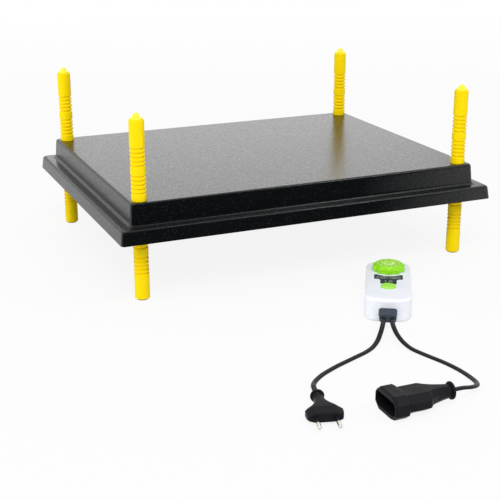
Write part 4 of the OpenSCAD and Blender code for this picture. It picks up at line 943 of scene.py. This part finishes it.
# The flutes are a cosine wave round the grip, faded out at both its ends
def makeGlandCap():
    k = SimpleNamespace(**gland)
    s, e, bore = k.start, k.start + k.length, k.bore
    profile = roundedLine([(bore, s), (k.radius, s), (k.radius, e - k.domeHeight),
                           (bore + k.mouthWidth, e), (bore, e), (bore, s)], k.rounds, 6)
    t = fullTurn(128)
    r, z = profile[:, :1], profile[:, 1:]
    band = np.clip(np.minimum(z - s - k.fluteFrom, e - k.fluteTo - z) / k.fluteFade + 1, 0, 1)
    band = band * (r > k.fluteRadius)
    r = r - k.fluteDepth * band * (0.5 + 0.5 * np.cos(k.flutes * t))
    grid = joined(r * np.cos(t), r * np.sin(t), z)
    c, n = math.cos(k.lean), math.sin(k.lean)  # the cap's axis leans with the back wall
    axes = np.array([[1, 0, 0], [0, n, -c], [0, c, n]])
    makePiece("gland_dome", [grid @ axes + np.array(k.place)], "blackNylon", "plate", ["gland_cap"],
              45)


makeGlandCap()

# CAD nodes that stay keep their shape and get their own finish
nodesByFinish = {
    "blackBaseAbs": ["bottom_plate"], "rolledAluminium": ["heat_spreader"], "amberPolyimide": ["heating_film"],
    "pressedFleece": ["insulation_mat"], "whiteNylon": ["terminal_block"], "greenBoardLacquer": ["control_board"],
    "redDippedCase": ["dimmer_capacitor"], "fuseGlass": ["dimmer_fuse"],
    "redWirePvc": ["plate_wires", "board_wires"], "copperFoil": ["heating_track", "dimmer_choke"],
    "turnedBrass": ["film_terminals", "terminal_screws", "coupler_contacts"],
    "zincPlatedSteel": ["base_screws", "thermal_cutout", "controller_screws", "dial_potentiometer", "dial_spindle"],
    "blackNylon": ["fixing_posts", "inlet_gland", "gland_nut", "power_switch", "dimmer_triac"]
                  + ["leg_guide_" + corner for corner in legCorners],
}
for finish, nodes in nodesByFinish.items():
    for node in nodes:
        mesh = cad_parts[node].data
        mesh.materials.clear()
        mesh.materials.append(finishes[finish])
print("finishes on", sum(map(len, nodesByFinish.values())), "nodes")


# One for a ray of any of these kinds, else nought
def seenRays(tree, *kinds):
    path = addNode(tree, "ShaderNodeLightPath")
    seen = path.outputs[kinds[0]]
    for kind in kinds[1:]:
        seen = addNode(tree, "ShaderNodeMath", operation="MAXIMUM", links={0: seen, 1: path.outputs[kind]})
    return seen


# Stage: a pale floor that reads as white and keeps soft shadows near the object, and a white surround
stage = {"floorZ": -0.0794, "drop": 0.0002, "half": 6.0, "floor": "#e4e4e4", "white": 0.88, "surround": 0.55,
         "fadeFrom": 0.9, "fadeTo": 2.6}
floorMesh = bpy.data.meshes.new("floor")
h, z = stage["half"], stage["floorZ"] - stage["drop"]
floorMesh.from_pydata([(-h, -h, z), (h, -h, z), (h, h, z), (-h, h, z)], [], [(0, 1, 2, 3)])
addObject("floor", floorMesh)
floorMaterial, tree, shader = newMaterial("paleFloor", Base_Color=linear(stage["floor"]), Roughness=0.9,
                                          Specular_IOR_Level=0.1)
glow = addNode(tree, "ShaderNodeEmission", inputs={"Color": (1, 1, 1, 1), "Strength": 1.0})
seen = seenRays(tree, "Is Camera Ray", "Is Glossy Ray")
spot = addNode(tree, "ShaderNodeNewGeometry")
reach = addNode(tree, "ShaderNodeVectorMath", operation="LENGTH", links={0: spot.outputs["Position"]})
fade = addNode(tree, "ShaderNodeMapRange", links={"Value": reach.outputs["Value"]},  # far off, all is white
               inputs={"From Min": stage["fadeFrom"], "From Max": stage["fadeTo"], "To Min": stage["white"],
                       "To Max": 1.0})
share = addNode(tree, "ShaderNodeMath", operation="MULTIPLY", links={0: seen, 1: fade})
mixed = addNode(tree, "ShaderNodeMixShader", links={0: share, 1: shader, 2: glow})
# seen from below, the floor lets the view through
clear = addNode(tree, "ShaderNodeBsdfTransparent")
mixed = addNode(tree, "ShaderNodeMixShader", links={0: spot.outputs["Backfacing"], 1: mixed, 2: clear})
floorOutput = next(n for n in tree.nodes if n.type == "OUTPUT_MATERIAL")
wire(floorOutput, {"Surface": mixed})
floorMesh.materials.append(floorMaterial)

world = bpy.data.worlds.new("whiteSurround")
scene.world = world
world.use_nodes = True
tree = world.node_tree
tree.nodes.clear()
seen = seenRays(tree, "Is Camera Ray", "Is Glossy Ray", "Is Transmission Ray")
strength = addNode(tree, "ShaderNodeMapRange", links={"Value": seen},
                   inputs={"To Min": stage["surround"], "To Max": 1.0})
glow = addNode(tree, "ShaderNodeBackground", inputs={"Color": (1, 1, 1, 1)}, links={"Strength": strength})
addNode(tree, "ShaderNodeOutputWorld", links={"Surface": glow})

# Lamps: a soft key from the upper left front, a small one that draws lines along the edges, a low one
# that lights the legs under the plate, and a broad one behind that draws the sheen on the top
lamps = {
    "key": {"place": (-1.1, -2.45, 2.6), "aim": (0, -0.1, 0), "size": 2.2, "watts": 72},
    "edge": {"place": (1.0, -1.3, 2.0), "aim": (0, -0.15, 0), "size": 0.25, "watts": 7},
    "fill": {"place": (-1.9, 0.35, 0.2), "aim": (-0.2, 0.1, -0.03), "size": 1.0, "watts": 11},
    "sheen": {"place": (0.75, 1.95, 0.85), "aim": (0, 0, 0.03), "size": 1.7, "watts": 4.4},
}
for name, lamp in lamps.items():
    data = bpy.data.lights.new(name, "AREA")
    data.shape, data.size, data.energy = "DISK", lamp["size"], lamp["watts"]
    light = addObject(name, data)
    light.visible_glossy = name != "fill"  # the low lamp isn't mirrored in the glossy top
    away = unit(np.array(lamp["place"]) - lamp["aim"])
    side = unit(np.cross(upwards, away))
    light.matrix_world = placeMatrix(side, np.cross(away, side), away, lamp["place"])
print("stage and lamps made")
